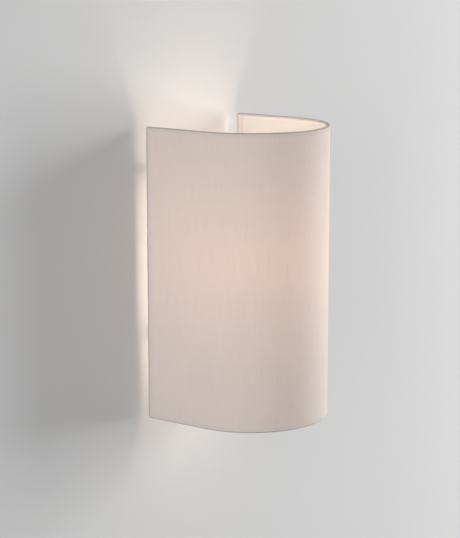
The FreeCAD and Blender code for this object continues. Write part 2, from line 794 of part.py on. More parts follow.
def block_standoffs():
    """Pressed-in pillars that lift the block off the plate."""
    solid = turned((block_screw_r + fit, -plate_thick), (standoff_shank_r, -plate_thick),
                   (standoff_shank_r, 0), (standoff_r, 0), (standoff_r, standoff_height),
                   (block_screw_r + fit, standoff_height))
    return [pointed(solid, (x, plate_face, z), (0, -1, 0)) for x, z in block_screw_places()]


def block_screws():
    """Screws through the block's webs into its pillars."""
    seat = plate_face - standoff_height - block_web
    length = plate_face - seat - block_screw_short
    solid = screw(block_screw_r, length, block_screw_head_r, block_screw_head_height)
    return [pointed(solid, (x, seat, z), (0, -1, 0)) for x, z in block_screw_places()]


def earth_stud():
    """The threaded stud pressed into the plate."""
    top = earth_stud_length - plate_thick
    solid = turned((0, -plate_thick), (earth_stud_root_r, -plate_thick), (earth_stud_root_r, 0),
                   (earth_stud_r, 0), (earth_stud_r, top - end_chamfer),
                   (earth_stud_r - end_chamfer, top), (0, top))
    return pointed(solid, (earth_x, plate_face, earth_z), (0, -1, 0))


def earth_tag():
    """The ring tag crimped on the earth lead."""
    ring = rod(tag_r, (earth_x, plate_face, earth_z), (0, -tag_thick, 0))
    barrel_low = tag_mouth_z - tag_barrel_length
    neck = box((earth_x - tag_neck / 2, plate_face - tag_thick, earth_z),
               (earth_x + tag_neck / 2, plate_face, barrel_low + tag_barrel_length / 2))
    barrel = rod(tag_barrel_r, (earth_x, tag_axis_y, barrel_low), (0, 0, tag_barrel_length))
    stud_hole = rod(earth_stud_r + fit, (earth_x, plate_face + cut_over, earth_z),
                    (0, -tag_thick - 2 * cut_over, 0))
    lead_hole = rod(lead_r + fit, (earth_x, tag_axis_y, tag_mouth_z - crimp_depth), (0, 0, tag_barrel_length))
    return joined(ring, neck, barrel).cut([stud_hole, lead_hole])


def earth_washer():
    """The shakeproof washer under the nut."""
    solid = turned((earth_stud_r + fit, 0), (washer_r, 0), (washer_r, washer_thick),
                   (earth_stud_r + fit, washer_thick))
    notches = []
    for k in range(washer_teeth):
        notch = box((washer_r - tooth_depth, -tooth_gap / 2, -cut_over),
                    (washer_r + cut_over, tooth_gap / 2, washer_thick + cut_over))
        notch.rotate(V(0, 0, 0), V(0, 0, 1), 360.0 * k / washer_teeth)
        notches.append(notch)
    return pointed(solid.cut(notches), (earth_x, plate_face - tag_thick, earth_z), (0, -1, 0))


def earth_nut():
    solid = hexagon(earth_nut_flats, earth_nut_height, earth_stud_r + fit)
    return pointed(solid, (earth_x, plate_face - tag_thick - washer_thick, earth_z), (0, -1, 0))


def terminal_cover():
    """The moulded box over the terminals, open to the plate."""
    low = (-cover_width / 2, cover_front, -cover_height / 2)
    high = (cover_width / 2, plate_face, cover_height / 2)
    shell = eased(box(low, high), cover_corner, runs_along((0, 1, 0)))
    shell = eased(shell, cover_edge, lambda edge: abs(edge.CenterOfMass.y - cover_front) < 1e-6)
    hollow = box((low[0] + cover_wall, cover_front + cover_wall, low[2] + cover_wall),
                 (high[0] - cover_wall, plate_face + cut_over, high[2] - cover_wall))
    hollow = eased(hollow, cover_corner - cover_wall, runs_along((0, 1, 0)))
    screw_hole = rod(cover_screw_r + fit, (0, plate_face - cover_screw_y, -cover_height),
                     (0, 0, 2 * cover_height))
    lead_hole = rod(bush_hole_r, (0, lead_y, -cover_height), (0, 0, cover_height))
    return shell.cut([hollow, screw_hole, lead_hole])


def cover_screws():
    """Screws through the cover's ends into the plate's tongues."""
    solid = screw(cover_screw_r, cover_screw_length, cover_screw_head_r, cover_screw_head_height)
    return [pointed(solid, (0, plate_face - cover_screw_y, side * cover_height / 2), (0, 0, side))
            for side in (-1, 1)]


def make_terminals():
    save("entry_bush", entry_bush())
    save("terminal_block", terminal_block())
    save("terminal_barrels", *terminal_barrels())
    save("terminal_screws", *terminal_screws())
    save("block_standoffs", *block_standoffs())
    save("block_screws", *block_screws())
    save("earth_stud", earth_stud())
    save("earth_tag", earth_tag())
    save("earth_washer", earth_washer())
    save("earth_nut", earth_nut())
    save("terminal_cover", terminal_cover())
    save("cover_screws", *cover_screws())


# ---------------------------------------------------------------- leads and their bushes

def shared_route(x):
    """The sleeved part of a lead: down to the arm, under it in a loop, and up the nipple."""
    corner_z = loop_low_z + loop_rise
    return [(x, lead_y, merge_z), (x, lead_y, corner_z), (x, lead_y - loop_step, loop_low_z),
            (x, centre_y + loop_step, loop_low_z), (x, centre_y, corner_z), (x, centre_y, fan_z)]


def lamp_lead(pole_x, side):
    """A lead from its pole to its post in the holder."""
    start = [(pole_x, barrel_y, lead_end_z), (pole_x, barrel_y, lead_drop_z)]
    end = [(side * post_x, centre_y, insert_low - post_approach),
           (side * post_x, centre_y, insert_low + post_bore_depth - lead_end_gap)]
    return bent_wire(start + shared_route(side * lead_offset) + end, lead_r)


def earth_lead():
    """The lead from the earth pole to its tag."""
    points = [(pole_pitch, barrel_y, lead_end_z), (pole_pitch, barrel_y, earth_drop_z),
              (earth_x, tag_axis_y, tag_mouth_z + tag_approach),
              (earth_x, tag_axis_y, tag_mouth_z - crimp_depth + lead_end_gap)]
    return bent_wire(points, lead_r)


def lead_sleeve():
    """The glass-fibre sleeve over both leads."""
    points = shared_route(0)
    points[0] = (0, lead_y, -cover_height / 2 + cover_wall + sleeve_rise)
    outer, radii = bent_wire(points, sleeve_r)
    inner, _ = bent_wire(points, sleeve_bore_r)
    beyond = rod(2 * sleeve_r, (0, centre_y, arm_top + nipple_above - sleeve_drop), (0, 0, fan_z - arm_top))
    return outer.cut([inner, beyond]), radii


def make_leads():
    pieces = {"live_lead": lamp_lead(-pole_pitch, -1), "neutral_lead": lamp_lead(0, 1),
              "earth_lead": earth_lead(), "lead_sleeve": lead_sleeve()}
    for name, (solid, radii) in pieces.items():
        save(name, solid)
        print("  bend radii", radii)
    bore_r = sleeve_r + bush_bore_gap
    lead_bush = bush(bush_hole_r, bore_r, bush_flange_r, bush_flange, cover_wall)
    save("lead_bush", pointed(lead_bush, (0, lead_y, -cover_height / 2)))
    arm_bush = bush(bush_hole_r, bore_r, bush_flange_r, bush_flange, strip_thick)
    save("arm_bush", pointed(arm_bush, (0, lead_y, arm_low)))


# ---------------------------------------------------------------- lamp holder

def thread_wave(offset):
    """Moves up one side of the lamp's rolled thread, at an offset from its surface."""
    middle = thread_middle + offset
    depth = thread_crest_r - thread_middle
    moves = []
    for k in range(thread_turns):
        z = thread_low + k * thread_pitch
        moves.append((middle + depth, z + thread_pitch / 4, middle, z + thread_pitch / 2))
        moves.append((middle - depth, z + 3 * thread_pitch / 4, middle, z + thread_pitch))
    return moves


def reversed_moves(start, moves):
    """The same line walked the other way, from its last point."""
    points = [start] + [move[-2:] for move in moves]
    walked = []
    for k in range(len(moves) - 1, -1, -1):
        walked.append(tuple(moves[k][:-2]) + tuple(points[k]))
    return walked


def thread_shell():
    """The holder's pressed brass shell, with a flange on the insert."""
    inner = thread_middle + thread_gap
    outer = inner + sheet
    top = thread_high + shell_lip
    moves = [(inner, thread_low)] + thread_wave(thread_gap)
    moves += [(inner, top), (outer, top), (outer, thread_high)]
    moves += reversed_moves((outer, thread_low), thread_wave(thread_gap + sheet))
    moves += [(outer, insert_top + sheet), (shell_flange_r, insert_top + sheet), (shell_flange_r, insert_top)]
    return turned((inner, insert_top), *moves)


def post_boxes(grow):
    """Room for the two lead posts under the insert."""
    reach = post_width / 2 + grow
    return [box((side * post_x - reach, -reach, insert_low), (side * post_x + reach, reach, post_top + grow))
            for side in (-1, 1)]


def leg(x, low, high, grow):
    """A flat contact's leg through the insert."""
    half = contact_width / 2 + grow
    return box((x - grow, -half, low), (x + contact_thick + grow, half, high))


def holder_insert():
    """The moulded insert that carries the contacts and posts."""
    body = turned((0, insert_low), (insert_r, insert_low), (insert_r, insert_top), (0, insert_top))
    recess = rod(recess_r, (0, 0, contact_floor), (0, 0, insert_top - contact_floor + cut_over))
    legs = [leg(live_leg_x, post_top - cut_over, contact_floor + cut_over, fit),
            leg(shell_leg_x, post_top - cut_over, insert_top + cut_over, fit)]
    screw_ways = [rod(post_screw_way_r, (side * post_x, 0, post_screw_z), (side * insert_r, 0, 0))
                  for side in (-1, 1)]
    return body.cut([recess] + post_boxes(fit) + legs + screw_ways)


def holder_posts():
    """Brass posts, each bored for its lead from below and tapped for a screw from the side."""
    solids = []
    for side, block in zip((-1, 1), post_boxes(0)):
        bores = [rod(lead_r + post_bore_gap, (side * post_x, 0, insert_low - cut_over),
                     (0, 0, post_bore_depth + cut_over)),
                 rod(post_screw_r + fit, (side * post_x, 0, post_screw_z), (side * post_width, 0, 0))]
        solids.append(block.cut(bores))
    return solids


def holder_post_screws():
    """Screws that clamp the leads in the posts."""
    tip_x = post_x + lead_r + fit
    seat_x = post_x + post_width / 2 + fit
    solid = screw(post_screw_r, seat_x - tip_x, post_screw_head_r, post_screw_head)
    return [pointed(solid, (side * seat_x, 0, post_screw_z), (side, 0, 0)) for side in (-1, 1)]


def centre_contact():
    """The sprung leaf under the lamp's tip, with its leg down to the live post."""
    top = tip_z - contact_gap
    low = contact_floor + contact_thick
    rise_start, rise_end = -0.75 * contact_pad, 0.375 * contact_pad
    leaf = outline((live_leg_x, contact_floor), (rise_start, contact_floor), (rise_end, top - contact_thick),
                   (contact_pad, top - contact_thick), (contact_pad, top), (rise_end - fit, top),
                   (rise_start - fit, low), (live_leg_x, low))
    solid = leaf.extrude(V(0, contact_width, 0))
    solid.translate(V(0, -contact_width / 2, 0))
    return joined(solid, leg(live_leg_x, post_top, low, 0))


def holder_skirt():
    """The outer sleeve, with the ledge that the insert is held against."""
    top = tip_z + skirt_top
    ledge_r = skirt_bore_r - holder_wall
    return turned((skirt_bore_r, cap_rim_z), (holder_r, cap_rim_z), (holder_r, top - skirt_nose),
                  round_corner(skirt_nose, holder_r, top), (skirt_mouth_r, top),
                  (skirt_mouth_r, top - holder_wall), (skirt_bore_r, top - holder_wall),
                  (skirt_bore_r, insert_top + insert_ledge), (ledge_r, insert_top + insert_ledge),
                  (ledge_r, insert_top), (skirt_bore_r, insert_top))


def holder_cap():
    """The base of the holder, screwed on the nipple, with a spigot up to the insert."""
    bore = nipple_r + fit
    shoulder = arm_top + holder_shoulder
    collar = arm_top + holder_collar
    inner = insert_r - holder_spigot_wall
    bulge = (holder_r - holder_dome_inset, arm_top + holder_dome_rise, holder_r, shoulder)
    hollow = (inner - holder_hollow_inset, collar + holder_hollow_rise, holder_collar_r, collar)
    return turned((bore, arm_top), (holder_foot_r, arm_top), bulge, (holder_r, cap_rim_z),
                  (insert_r, cap_rim_z), (insert_r, insert_low), (inner, insert_low), (inner, shoulder),
                  hollow, (bore, collar))


def nipple():
    """The hollow threaded tube through arm and holder."""
    low, high = arm_top - nipple_below, arm_top + nipple_above
    end_r = nipple_r - end_chamfer
    return turned((nipple_bore_r, low), (end_r, low), (nipple_r, low + end_chamfer),
                  (nipple_r, high - end_chamfer), (end_r, high), (nipple_bore_r, high))


def make_holder():
    save("nipple", on_lamp(nipple()))
    washer = turned((nipple_r + fit, arm_low - washer_thick), (nut_washer_r, arm_low - washer_thick),
                    (nut_washer_r, arm_low), (nipple_r + fit, arm_low))
    save("nipple_washer", on_lamp(washer))
    nut = hexagon(nut_flats, nut_height, nipple_r + fit)
    save("nipple_nut", pointed(nut, (0, centre_y, arm_low - washer_thick - nut_height)))
    save("holder_cap", on_lamp(holder_cap()))
    save("holder_skirt", on_lamp(holder_skirt()))
    save("holder_insert", on_lamp(holder_insert()))
    save("thread_shell", on_lamp(thread_shell()))
    save("centre_contact", on_lamp(centre_contact()))
    save("shell_contact", on_lamp(leg(shell_leg_x, post_top, insert_top, 0)))
    save("holder_posts", *[on_lamp(solid) for solid in holder_posts()])
    save("holder_post_screws", *[on_lamp(solid) for solid in holder_post_screws()])


# ---------------------------------------------------------------- lamp

def flare(foot_r, foot_z, top_r, top_z):
    """The body's waisted side: a curve that leaves the foot upright, as a move to its top."""
    rise = top_z - foot_z
    return (foot_r, foot_z + 0.5 * rise, top_r - 0.18 * rise, top_z - 0.3 * rise, top_r, top_z)


def body_inner():
    """The start of the body's inner side, and the curve up to the heat cup's ledge."""
    foot = (body_shoulder_r - body_wall, shoulder_z + body_floor)
    return foot, flare(*foot, board_r - body_ledge, cup_rest)


def on_curve(foot, move, share):
    """A point on a curve, by its parameter."""
    poles = [foot, move[0:2], move[2:4], move[4:6]]
    while len(poles) > 1:
        poles = [[(1 - share) * a + share * b for a, b in zip(one, two)]
                 for one, two in zip(poles, poles[1:])]
    return poles[0]


def bulb_globe():
    """The frosted dome and the spigot that fits in the body's rim."""
    inner = globe_r - globe_wall
    floor_z = body_rim_z + globe_wall
    floor_r = math.sqrt(inner ** 2 - (light_z - floor_z) ** 2)
    spigot_out = globe_spigot_r - fit
    spigot_in = globe_spigot_r - spigot_wall
    return turned((globe_rim_r, body_rim_z), (globe_r, light_z, 0, light_z + globe_r), (0, light_z + inner),
                  (inner, light_z, floor_r, floor_z), (spigot_in, floor_z), (spigot_in, globe_spigot_z),
                  (spigot_out, globe_spigot_z), (spigot_out, body_rim_z))


def bulb_body():
    """The moulded body, with a neck down into the screw shell."""
    neck_low = tip_z + neck_rise
    collar_r = cap_skirt_r - sheet - fit
    collar_low = thread_high + cap_step + fit
    foot, inner = body_inner()
    down = (inner[2], inner[3], inner[0], inner[1]) + foot
    return turned((neck_bore_r, neck_low), (neck_r, neck_low), (neck_r, collar_low), (collar_r, collar_low),
                  (collar_r, shoulder_z), (body_shoulder_r, shoulder_z),
                  flare(body_shoulder_r, shoulder_z, globe_rim_r, body_rim_z), (globe_spigot_r, body_rim_z),
                  (globe_spigot_r, globe_spigot_z), (board_r + fit, globe_spigot_z),
                  (board_r + fit, cup_rest), inner[4:6], down, (neck_bore_r, shoulder_z + body_floor / 2))


def bulb_cap():
    """The lamp's nickel-plated screw shell."""
    inner = thread_middle - sheet
    skirt_in = cap_skirt_r - sheet
    mouth_z = tip_z + cap_mouth_rise
    step_z = thread_high + cap_step
    moves = [(thread_middle, thread_low)] + thread_wave(0)
    moves += [(cap_skirt_r, step_z), (cap_skirt_r, shoulder_z), (skirt_in, shoulder_z), (skirt_in, step_z),
              (inner, thread_high)]
    moves += reversed_moves((inner, thread_low), thread_wave(-sheet))
    return turned((cap_mouth_r, mouth_z), *moves, (cap_mouth_r - sheet, mouth_z))


def cap_insulator():
    """The black glass cone between shell and contact."""
    low = tip_z + glass_low_rise
    high = tip_z + glass_high_rise
    seat = tip_z + button_height
    return turned((glass_bore_r, seat), (button_r + fit, seat), (button_r + fit, low), (glass_low_r, low),
                  (glass_r, tip_z + cap_mouth_rise), (glass_r, high), (glass_bore_r, high))


def cap_contact():
    """The lamp's domed centre contact."""
    top = tip_z + button_height
    edge = tip_z + button_edge
    return turned((0, top), (button_r, top), (button_r, edge), dome(button_r, edge, tip_z))


def heat_cup():
    """The aluminium cup that carries the board and lines the body."""
    foot, inner = body_inner()
    low_r, low_z = on_curve(foot, inner, cup_reach)
    low_r -= cup_gap
    side_r = board_r - body_ledge - cup_gap
    solid = turned((0, cup_rest), (side_r - cup_wall, cup_rest), (low_r - cup_wall, low_z), (low_r, low_z),
                   (side_r, cup_rest), (board_r, cup_rest), (board_r, cup_top), (0, cup_top))
    ways = [rod(riser_way_r, (side * riser_x, 0, cup_rest - cut_over), (0, 0, cup_disc + 2 * cut_over))
            for side in (-1, 1)]
    return solid.cut(ways)


def led_chips():
    """Chips in a ring on the board."""
    solids = []
    half = chip_size / 2
    low = cup_top + board_thick
    for k in range(chip_count):
        chip = box((chip_ring_r - half, -half, low), (chip_ring_r + half, half, low + chip_height))
        chip.rotate(V(0, 0, 0), V(0, 0, 1), 360.0 * k / chip_count)
        solids.append(chip)
    return solids


def driver_board():
    """The narrow board that stands in the lamp's neck."""
    return box((-driver_half, -driver_thick / 2, driver_low), (driver_half, driver_thick / 2, driver_high))


def driver_capacitor():
    """The can on the driver board's front."""
    return rod(capacitor_r, (capacitor_x, -driver_thick / 2 - capacitor_r, shoulder_z + capacitor_rise),
               (0, 0, capacitor_height))


def driver_transformer():
    """A ferrite core with its winding, on the driver board's back."""
    low = shoulder_z + core_rise
    back = driver_thick / 2
    half = core_width / 2
    middle_y = back + core_depth / 2
    core = box((-half, back, low), (half, back + core_depth, low + core_height))
    room = box((-half - cut_over, back - cut_over, low + core_cheek),
               (half + cut_over, back + core_depth + cut_over, low + core_height - core_cheek))
    return core.cut(room.cut(rod(winding_r, (0, middle_y, low), (0, 0, core_height))))


def bulb_leads():
    """Tip to driver, shell to driver, and driver to board."""
    tip_lead = rod(bulb_wire_r, (0, 0, tip_z + button_height), (0, 0, driver_bottom - button_height))
    root_z = thread_low + 3 * thread_pitch / 4
    shell_lead = rod(bulb_wire_r, (driver_half, 0, root_z), (thread_root_r - sheet - driver_half, 0, 0))
    risers = [rod(bulb_wire_r, (side * riser_x, 0, driver_high), (0, 0, cup_top - driver_high))
              for side in (-1, 1)]
    return [tip_lead, shell_lead] + risers


def make_bulb():
    save("bulb_globe", on_lamp(bulb_globe()))
    save("bulb_body", on_lamp(bulb_body()))
    save("bulb_cap", on_lamp(bulb_cap()))
    save("cap_insulator", on_lamp(cap_insulator()))
    save("cap_contact", on_lamp(cap_contact()))
    save("heat_cup", on_lamp(heat_cup()))
    save("led_board", on_lamp(rod(board_r, (0, 0, cup_top), (0, 0, board_thick))))
    save("led_chips", *[on_lamp(solid) for solid in led_chips()])
    save("driver_board", on_lamp(driver_board()))
    save("driver_capacitor", on_lamp(driver_capacitor()))
    save("driver_transformer", on_lamp(driver_transformer()))
    save("bulb_leads", *[on_lamp(solid) for solid in bulb_leads()])


os.makedirs("parts", exist_ok=True)
make_shade()
make_wall_unit()
make_terminals()
make_leads()
make_holder()
make_bulb()
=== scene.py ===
"""Looks of a fabric half-shade wall light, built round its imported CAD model.

The shade's cloth is made here as one skin with rolled rims, and two side folds. Every other piece
is the CAD model's own, and gets a finish. The stage is a wall, a floor, soft lights and a camera.
Lengths are in metres, in the model's frame: X to the right along the wall, +Y into the wall, Z up.
"""

import json
import math

import bmesh
import bpy
from bpy.props import FloatProperty, FloatVectorProperty, IntProperty, PointerProperty
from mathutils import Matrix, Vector, noise


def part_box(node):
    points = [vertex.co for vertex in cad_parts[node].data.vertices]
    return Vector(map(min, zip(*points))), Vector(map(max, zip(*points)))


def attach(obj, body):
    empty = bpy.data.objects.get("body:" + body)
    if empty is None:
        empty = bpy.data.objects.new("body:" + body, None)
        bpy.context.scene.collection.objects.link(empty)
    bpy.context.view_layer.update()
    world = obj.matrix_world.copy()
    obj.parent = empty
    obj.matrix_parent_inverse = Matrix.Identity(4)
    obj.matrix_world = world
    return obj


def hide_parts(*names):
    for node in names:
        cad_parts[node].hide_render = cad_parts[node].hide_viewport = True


bl_info = {
    "name": "Fabric Shade Wall Light",
    "version": (1, 0, 0),
    "blender": (4, 5, 0),
    "location": "View3D > Sidebar > Wall Light",
    "description": "Dresses a fabric half-shade wall light with cloth and finishes",
    "category": "Add Mesh",
}

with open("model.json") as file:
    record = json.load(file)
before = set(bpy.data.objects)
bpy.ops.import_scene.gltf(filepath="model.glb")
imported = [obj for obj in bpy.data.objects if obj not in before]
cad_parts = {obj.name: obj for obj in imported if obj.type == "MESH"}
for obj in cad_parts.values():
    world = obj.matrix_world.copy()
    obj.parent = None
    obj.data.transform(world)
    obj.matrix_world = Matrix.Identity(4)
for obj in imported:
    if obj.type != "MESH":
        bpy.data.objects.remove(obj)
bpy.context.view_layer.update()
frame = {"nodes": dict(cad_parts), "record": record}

MM = 0.001
RIM_PROUD = 0.3 * MM         # the rolled rims stand out from the cloth's face by this
LINER_THICKNESS = 0.6 * MM
SHADE_LOW, SHADE_HIGH = (Vector(corner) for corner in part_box("shade_fabric"))
LINER_LOW, LINER_HIGH = (Vector(corner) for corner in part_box("shade_liner"))
RING_LOW, RING_HIGH = (Vector(corner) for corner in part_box("top_ring"))
UPRIGHT_LOW, UPRIGHT_HIGH = (Vector(corner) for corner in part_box("right_upright"))
GLOBE_LOW, GLOBE_HIGH = (Vector(corner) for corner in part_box("bulb_globe"))

HALF_WIDTH = SHADE_HIGH.x
FRONT_CENTRE_Y = SHADE_LOW.y + HALF_WIDTH
WIRE_X = (UPRIGHT_LOW.x + UPRIGHT_HIGH.x) / 2
WIRE_Y = (UPRIGHT_LOW.y + UPRIGHT_HIGH.y) / 2
RING_Z = (RING_LOW.z + RING_HIGH.z) / 2
ROLL_R = HALF_WIDTH - WIRE_X
LINER_OUTER = HALF_WIDTH - LINER_HIGH.x
GLOBE_TOP = GLOBE_HIGH.z
GLOBE_R = (GLOBE_HIGH.x - GLOBE_LOW.x) / 2
LAMP_CENTRE = (GLOBE_LOW + GLOBE_HIGH) / 2
LAMP_CENTRE.z = GLOBE_TOP - GLOBE_R

WHITE = (1.0, 1.0, 1.0, 1.0)


# ---------------------------------------------------------------- sizes and colours to change

RGBA = {"size": 4, "min": 0.0, "max": 1.0}


class ShadeClothSettings(bpy.types.PropertyGroup):
    """The cloth's make-up and how flat it lies."""
    cloth_thickness: FloatProperty(
        name="Cloth thickness", description="Woven cotton on the liner film",
        default=LINER_OUTER - RIM_PROUD, min=0.0, unit="LENGTH")
    hem_reach: FloatProperty(
        name="Hem reach", description="Inner hem's free edge from the shade's rear edge",
        default=6.4 * MM, min=0.0, unit="LENGTH")
    rim_swell: FloatProperty(
        name="Rim unevenness", description="How far the rolled rims wander from true",
        default=0.12 * MM, min=0.0, unit="LENGTH")
    face_wander: FloatProperty(
        name="Face unevenness", description="How far the cloth's face wanders from true",
        default=0.1 * MM, min=0.0, unit="LENGTH")
    yarn_pitch: FloatProperty(
        name="Yarn pitch", description="Distance between neighbouring yarns",
        default=0.62 * MM, min=0.1 * MM, unit="LENGTH")
    column_step: FloatProperty(
        name="Column step", description="Width of the skin's faces along the cloth",
        default=2.2 * MM, min=0.1 * MM, unit="LENGTH")
    row_step: FloatProperty(
        name="Row step", description="Height of the skin's faces",
        default=4.0 * MM, min=0.1 * MM, unit="LENGTH")
    roll_sides: IntProperty(
        name="Roll sides", description="Faces round each rolled edge", default=24, min=8)
    cloth_colour: FloatVectorProperty(
        name="Cloth colour", description="Off-white cotton", subtype="COLOR", **RGBA,
        default=(0.735, 0.69, 0.66, 1.0))
    slub_colour: FloatVectorProperty(
        name="Slub colour", description="Thicker, duller yarns in the cotton", subtype="COLOR", **RGBA,
        default=(0.67, 0.62, 0.58, 1.0))


class LampGlowSettings(bpy.types.PropertyGroup):
    """The light of the lamp, and the glow painted on the cloth and liner."""
    direct_glow: FloatVectorProperty(
        name="Direct glow", description="Light through the cloth next to the lamp", subtype="COLOR",
        **RGBA, default=(0.26, 0.124, 0.064, 1.0))
    liner_glow: FloatVectorProperty(
        name="Liner glow", description="Lamplight on the liner's inner face", subtype="COLOR",
        **RGBA, default=(0.006, 0.004, 0.003, 1.0))
    globe_colour: FloatVectorProperty(
        name="Globe colour", description="The lit diffuser", subtype="COLOR",
        **RGBA, default=(1.0, 0.86, 0.66, 1.0))
    globe_strength: FloatProperty(
        name="Globe strength", description="Brightness of the lit diffuser", default=0.8, min=0.0)
    globe_foot: FloatProperty(
        name="Globe foot", description="Brightness of the globe's foot, as a share of its crown's",
        default=0.45, min=0.0, max=1.0)
    lamp_power: FloatProperty(
        name="Lamp power", description="Light that the lamp gives the room", default=0.47, min=0.0,
        unit="POWER")
    bounce_power: FloatProperty(
        name="Bounce power", description="Light off each inner side of the shade's lower half",
        default=0.06, min=0.0, unit="POWER")
    lamp_colour: FloatVectorProperty(
        name="Lamp colour", description="Warm white", subtype="COLOR", size=3, min=0.0, max=1.0,
        default=(1.0, 0.83, 0.73))
    glow_lift: FloatProperty(
        name="Glow lift", description="Brightest place on the cloth, above the globe's centre",
        default=22 * MM, unit="LENGTH")
    glow_fall: FloatProperty(
        name="Glow fall", description="How fast the glow fades away from the lamp", default=1.4, min=0.0)


class FinishSettings(bpy.types.PropertyGroup):
    """Colours of the painted, moulded and metal pieces."""
    coat_colour: FloatVectorProperty(
        name="Powder coat", description="White coat on the plate, bars and arm", subtype="COLOR",
        **RGBA, default=(0.80, 0.80, 0.78, 1.0))
    wire_colour: FloatVectorProperty(
        name="Wire coat", description="White coat on the shade's wires", subtype="COLOR",
        **RGBA, default=(0.78, 0.77, 0.74, 1.0))
    liner_colour: FloatVectorProperty(
        name="Liner", description="Translucent styrene film", subtype="COLOR",
        **RGBA, default=(0.86, 0.825, 0.77, 1.0))
    nylon_colour: FloatVectorProperty(
        name="Nylon", description="Terminal block and cover", subtype="COLOR",
        **RGBA, default=(0.80, 0.79, 0.75, 1.0))
    phenolic_colour: FloatVectorProperty(
        name="Phenolic", description="Black holder", subtype="COLOR",
        **RGBA, default=(0.016, 0.016, 0.017, 1.0))
    brass_colour: FloatVectorProperty(
        name="Brass", description="Turned and pressed brass", subtype="COLOR",
        **RGBA, default=(0.78, 0.57, 0.27, 1.0))
    zinc_colour: FloatVectorProperty(
        name="Zinc", description="Zinc-plated screws and rivets", subtype="COLOR",
        **RGBA, default=(0.63, 0.65, 0.68, 1.0))


class StageSettings(bpy.types.PropertyGroup):
    """Wall, floor, lights and camera."""
    wall_colour: FloatVectorProperty(
        name="Wall colour", description="Matt emulsion", subtype="COLOR", **RGBA,
        default=(0.745, 0.745, 0.745, 1.0))
    wall_span: FloatProperty(
        name="Wall span", description="Width of the wall", default=9.0, unit="LENGTH")
    floor_span: FloatProperty(
        name="Floor span", description="Width of the floor", default=6.0, unit="LENGTH")
    floor_drop: FloatProperty(
        name="Floor drop", description="Floor below the light", default=3.0, unit="LENGTH")
    key_power: FloatProperty(
        name="Key power", description="Large soft light from the right", default=85.0, unit="POWER")
    fill_power: FloatProperty(
        name="Fill power", description="Soft light from the left", default=24.0, unit="POWER")
    world_strength: FloatProperty(
        name="Room light", description="Even light of the room", default=0.39, min=0.0)
    backdrop_strength: FloatProperty(
        name="Backdrop", description="Brightness of the room past the stage", default=0.86, min=0.0)
    lens: FloatProperty(
        name="Lens", description="Camera's focal length in mm", default=118.95, min=1.0)
    camera_place: FloatVectorProperty(
        name="Camera place", description="Where the camera stands", size=3, subtype="XYZ",
        unit="LENGTH", default=(-1.4611, -1.1020, 0.3560))
    camera_heading: FloatProperty(
        name="Camera heading", description="Turn from +Y towards +X", subtype="ANGLE",
        default=math.radians(54.352))
    camera_dip: FloatProperty(
        name="Camera dip", description="How far the camera looks down", subtype="ANGLE",
        default=math.radians(11.26))


SETTINGS = {"shade_cloth": ShadeClothSettings, "lamp_glow": LampGlowSettings,
            "wall_light_finish": FinishSettings, "wall_light_stage": StageSettings}


# ---------------------------------------------------------------- laying nodes

NODE_WIDTH = 190             # spacing of the nodes laid out in rows, in the editor's units
NODE_HEIGHT = 260
NODES_IN_ROW = 9

# The Mix node has a set of sockets for each data type under the same names; these are the colours'.
MIX_SHARE, MIX_ONE, MIX_TWO, MIX_RESULT = 0, 6, 7, 2


class Board:
    """Adds nodes to one tree, in order, and joins or sets their sockets."""

    def __init__(self, tree):
        self.tree = tree

    def add(self, kind, settings=None, **inputs):
        """A node with its settings, and its sockets by name with _ for a space."""
        made = self.tree.nodes.new(kind)
        count = len(self.tree.nodes)
        made.location = (NODE_WIDTH * (count % NODES_IN_ROW), -NODE_HEIGHT * (count // NODES_IN_ROW))
        for name, value in (settings or {}).items():
            setattr(made, name, value)
        for name, value in inputs.items():
            self.feed(made.inputs[name.replace("_", " ")], value)
        return made

    def feed(self, slot, value):
        """Joins a socket to a node's output, or sets it to a plain value."""
        if isinstance(value, bpy.types.NodeSocket):
            self.tree.links.new(value, slot)
        else:
            slot.default_value = value

    def lay(self, kind, settings, *values):
        """A node with its settings, and its first sockets in order."""
        made = self.add(kind, settings)
        for slot, value in zip(made.inputs, values):
            self.feed(slot, value)
        return made.outputs

    def math(self, operation, *values, clamp=False):
        """A sum, product or other operation on numbers."""
        return self.lay("ShaderNodeMath", {"operation": operation, "use_clamp": clamp}, *values)[0]

    def mix(self, share, one, two, blend="MIX"):
        """A mix of two colours."""
        made = self.add("ShaderNodeMix", {"data_type": "RGBA", "blend_type": blend})
        for slot, value in ((MIX_SHARE, share), (MIX_ONE, one), (MIX_TWO, two)):
            self.feed(made.inputs[slot], value)
        return made.outputs[MIX_RESULT]

    def times(self, colour, share):
        """A colour made darker or brighter by a number."""
        grey = self.add("ShaderNodeCombineXYZ", X=share, Y=share, Z=share).outputs[0]
        return self.mix(1.0, colour, grey, "MULTIPLY")

    def place(self):
        """The place on the object, as a vector."""
        return self.add("ShaderNodeTexCoord").outputs["Object"]

    def parts(self, vector):
        """The three numbers of a vector, as the outputs X, Y and Z."""
        return self.add("ShaderNodeSeparateXYZ", Vector=vector).outputs

    def scaled(self, vector, scale):
        """A vector times another, part by part."""
        return self.lay("ShaderNodeVectorMath", {"operation": "MULTIPLY"}, vector, scale)[0]

    def noise(self, vector, scale, detail=3.0, roughness=0.5):
        """Smooth noise between 0 and 1."""
        return self.add("ShaderNodeTexNoise", Vector=vector, Scale=scale, Detail=detail,
                        Roughness=roughness).outputs["Fac"]

    def band(self, value, low, high, to_low=0.0, to_high=1.0):
        """A number carried from one range to another, and held at its ends."""
        return self.add("ShaderNodeMapRange", Value=value, From_Min=low, From_Max=high, To_Min=to_low,
                        To_Max=to_high).outputs[0]

    def group(self, name, **inputs):
        """A shared group with its own values."""
        return self.add("ShaderNodeGroup", {"node_tree": bpy.data.node_groups[name]}, **inputs).outputs


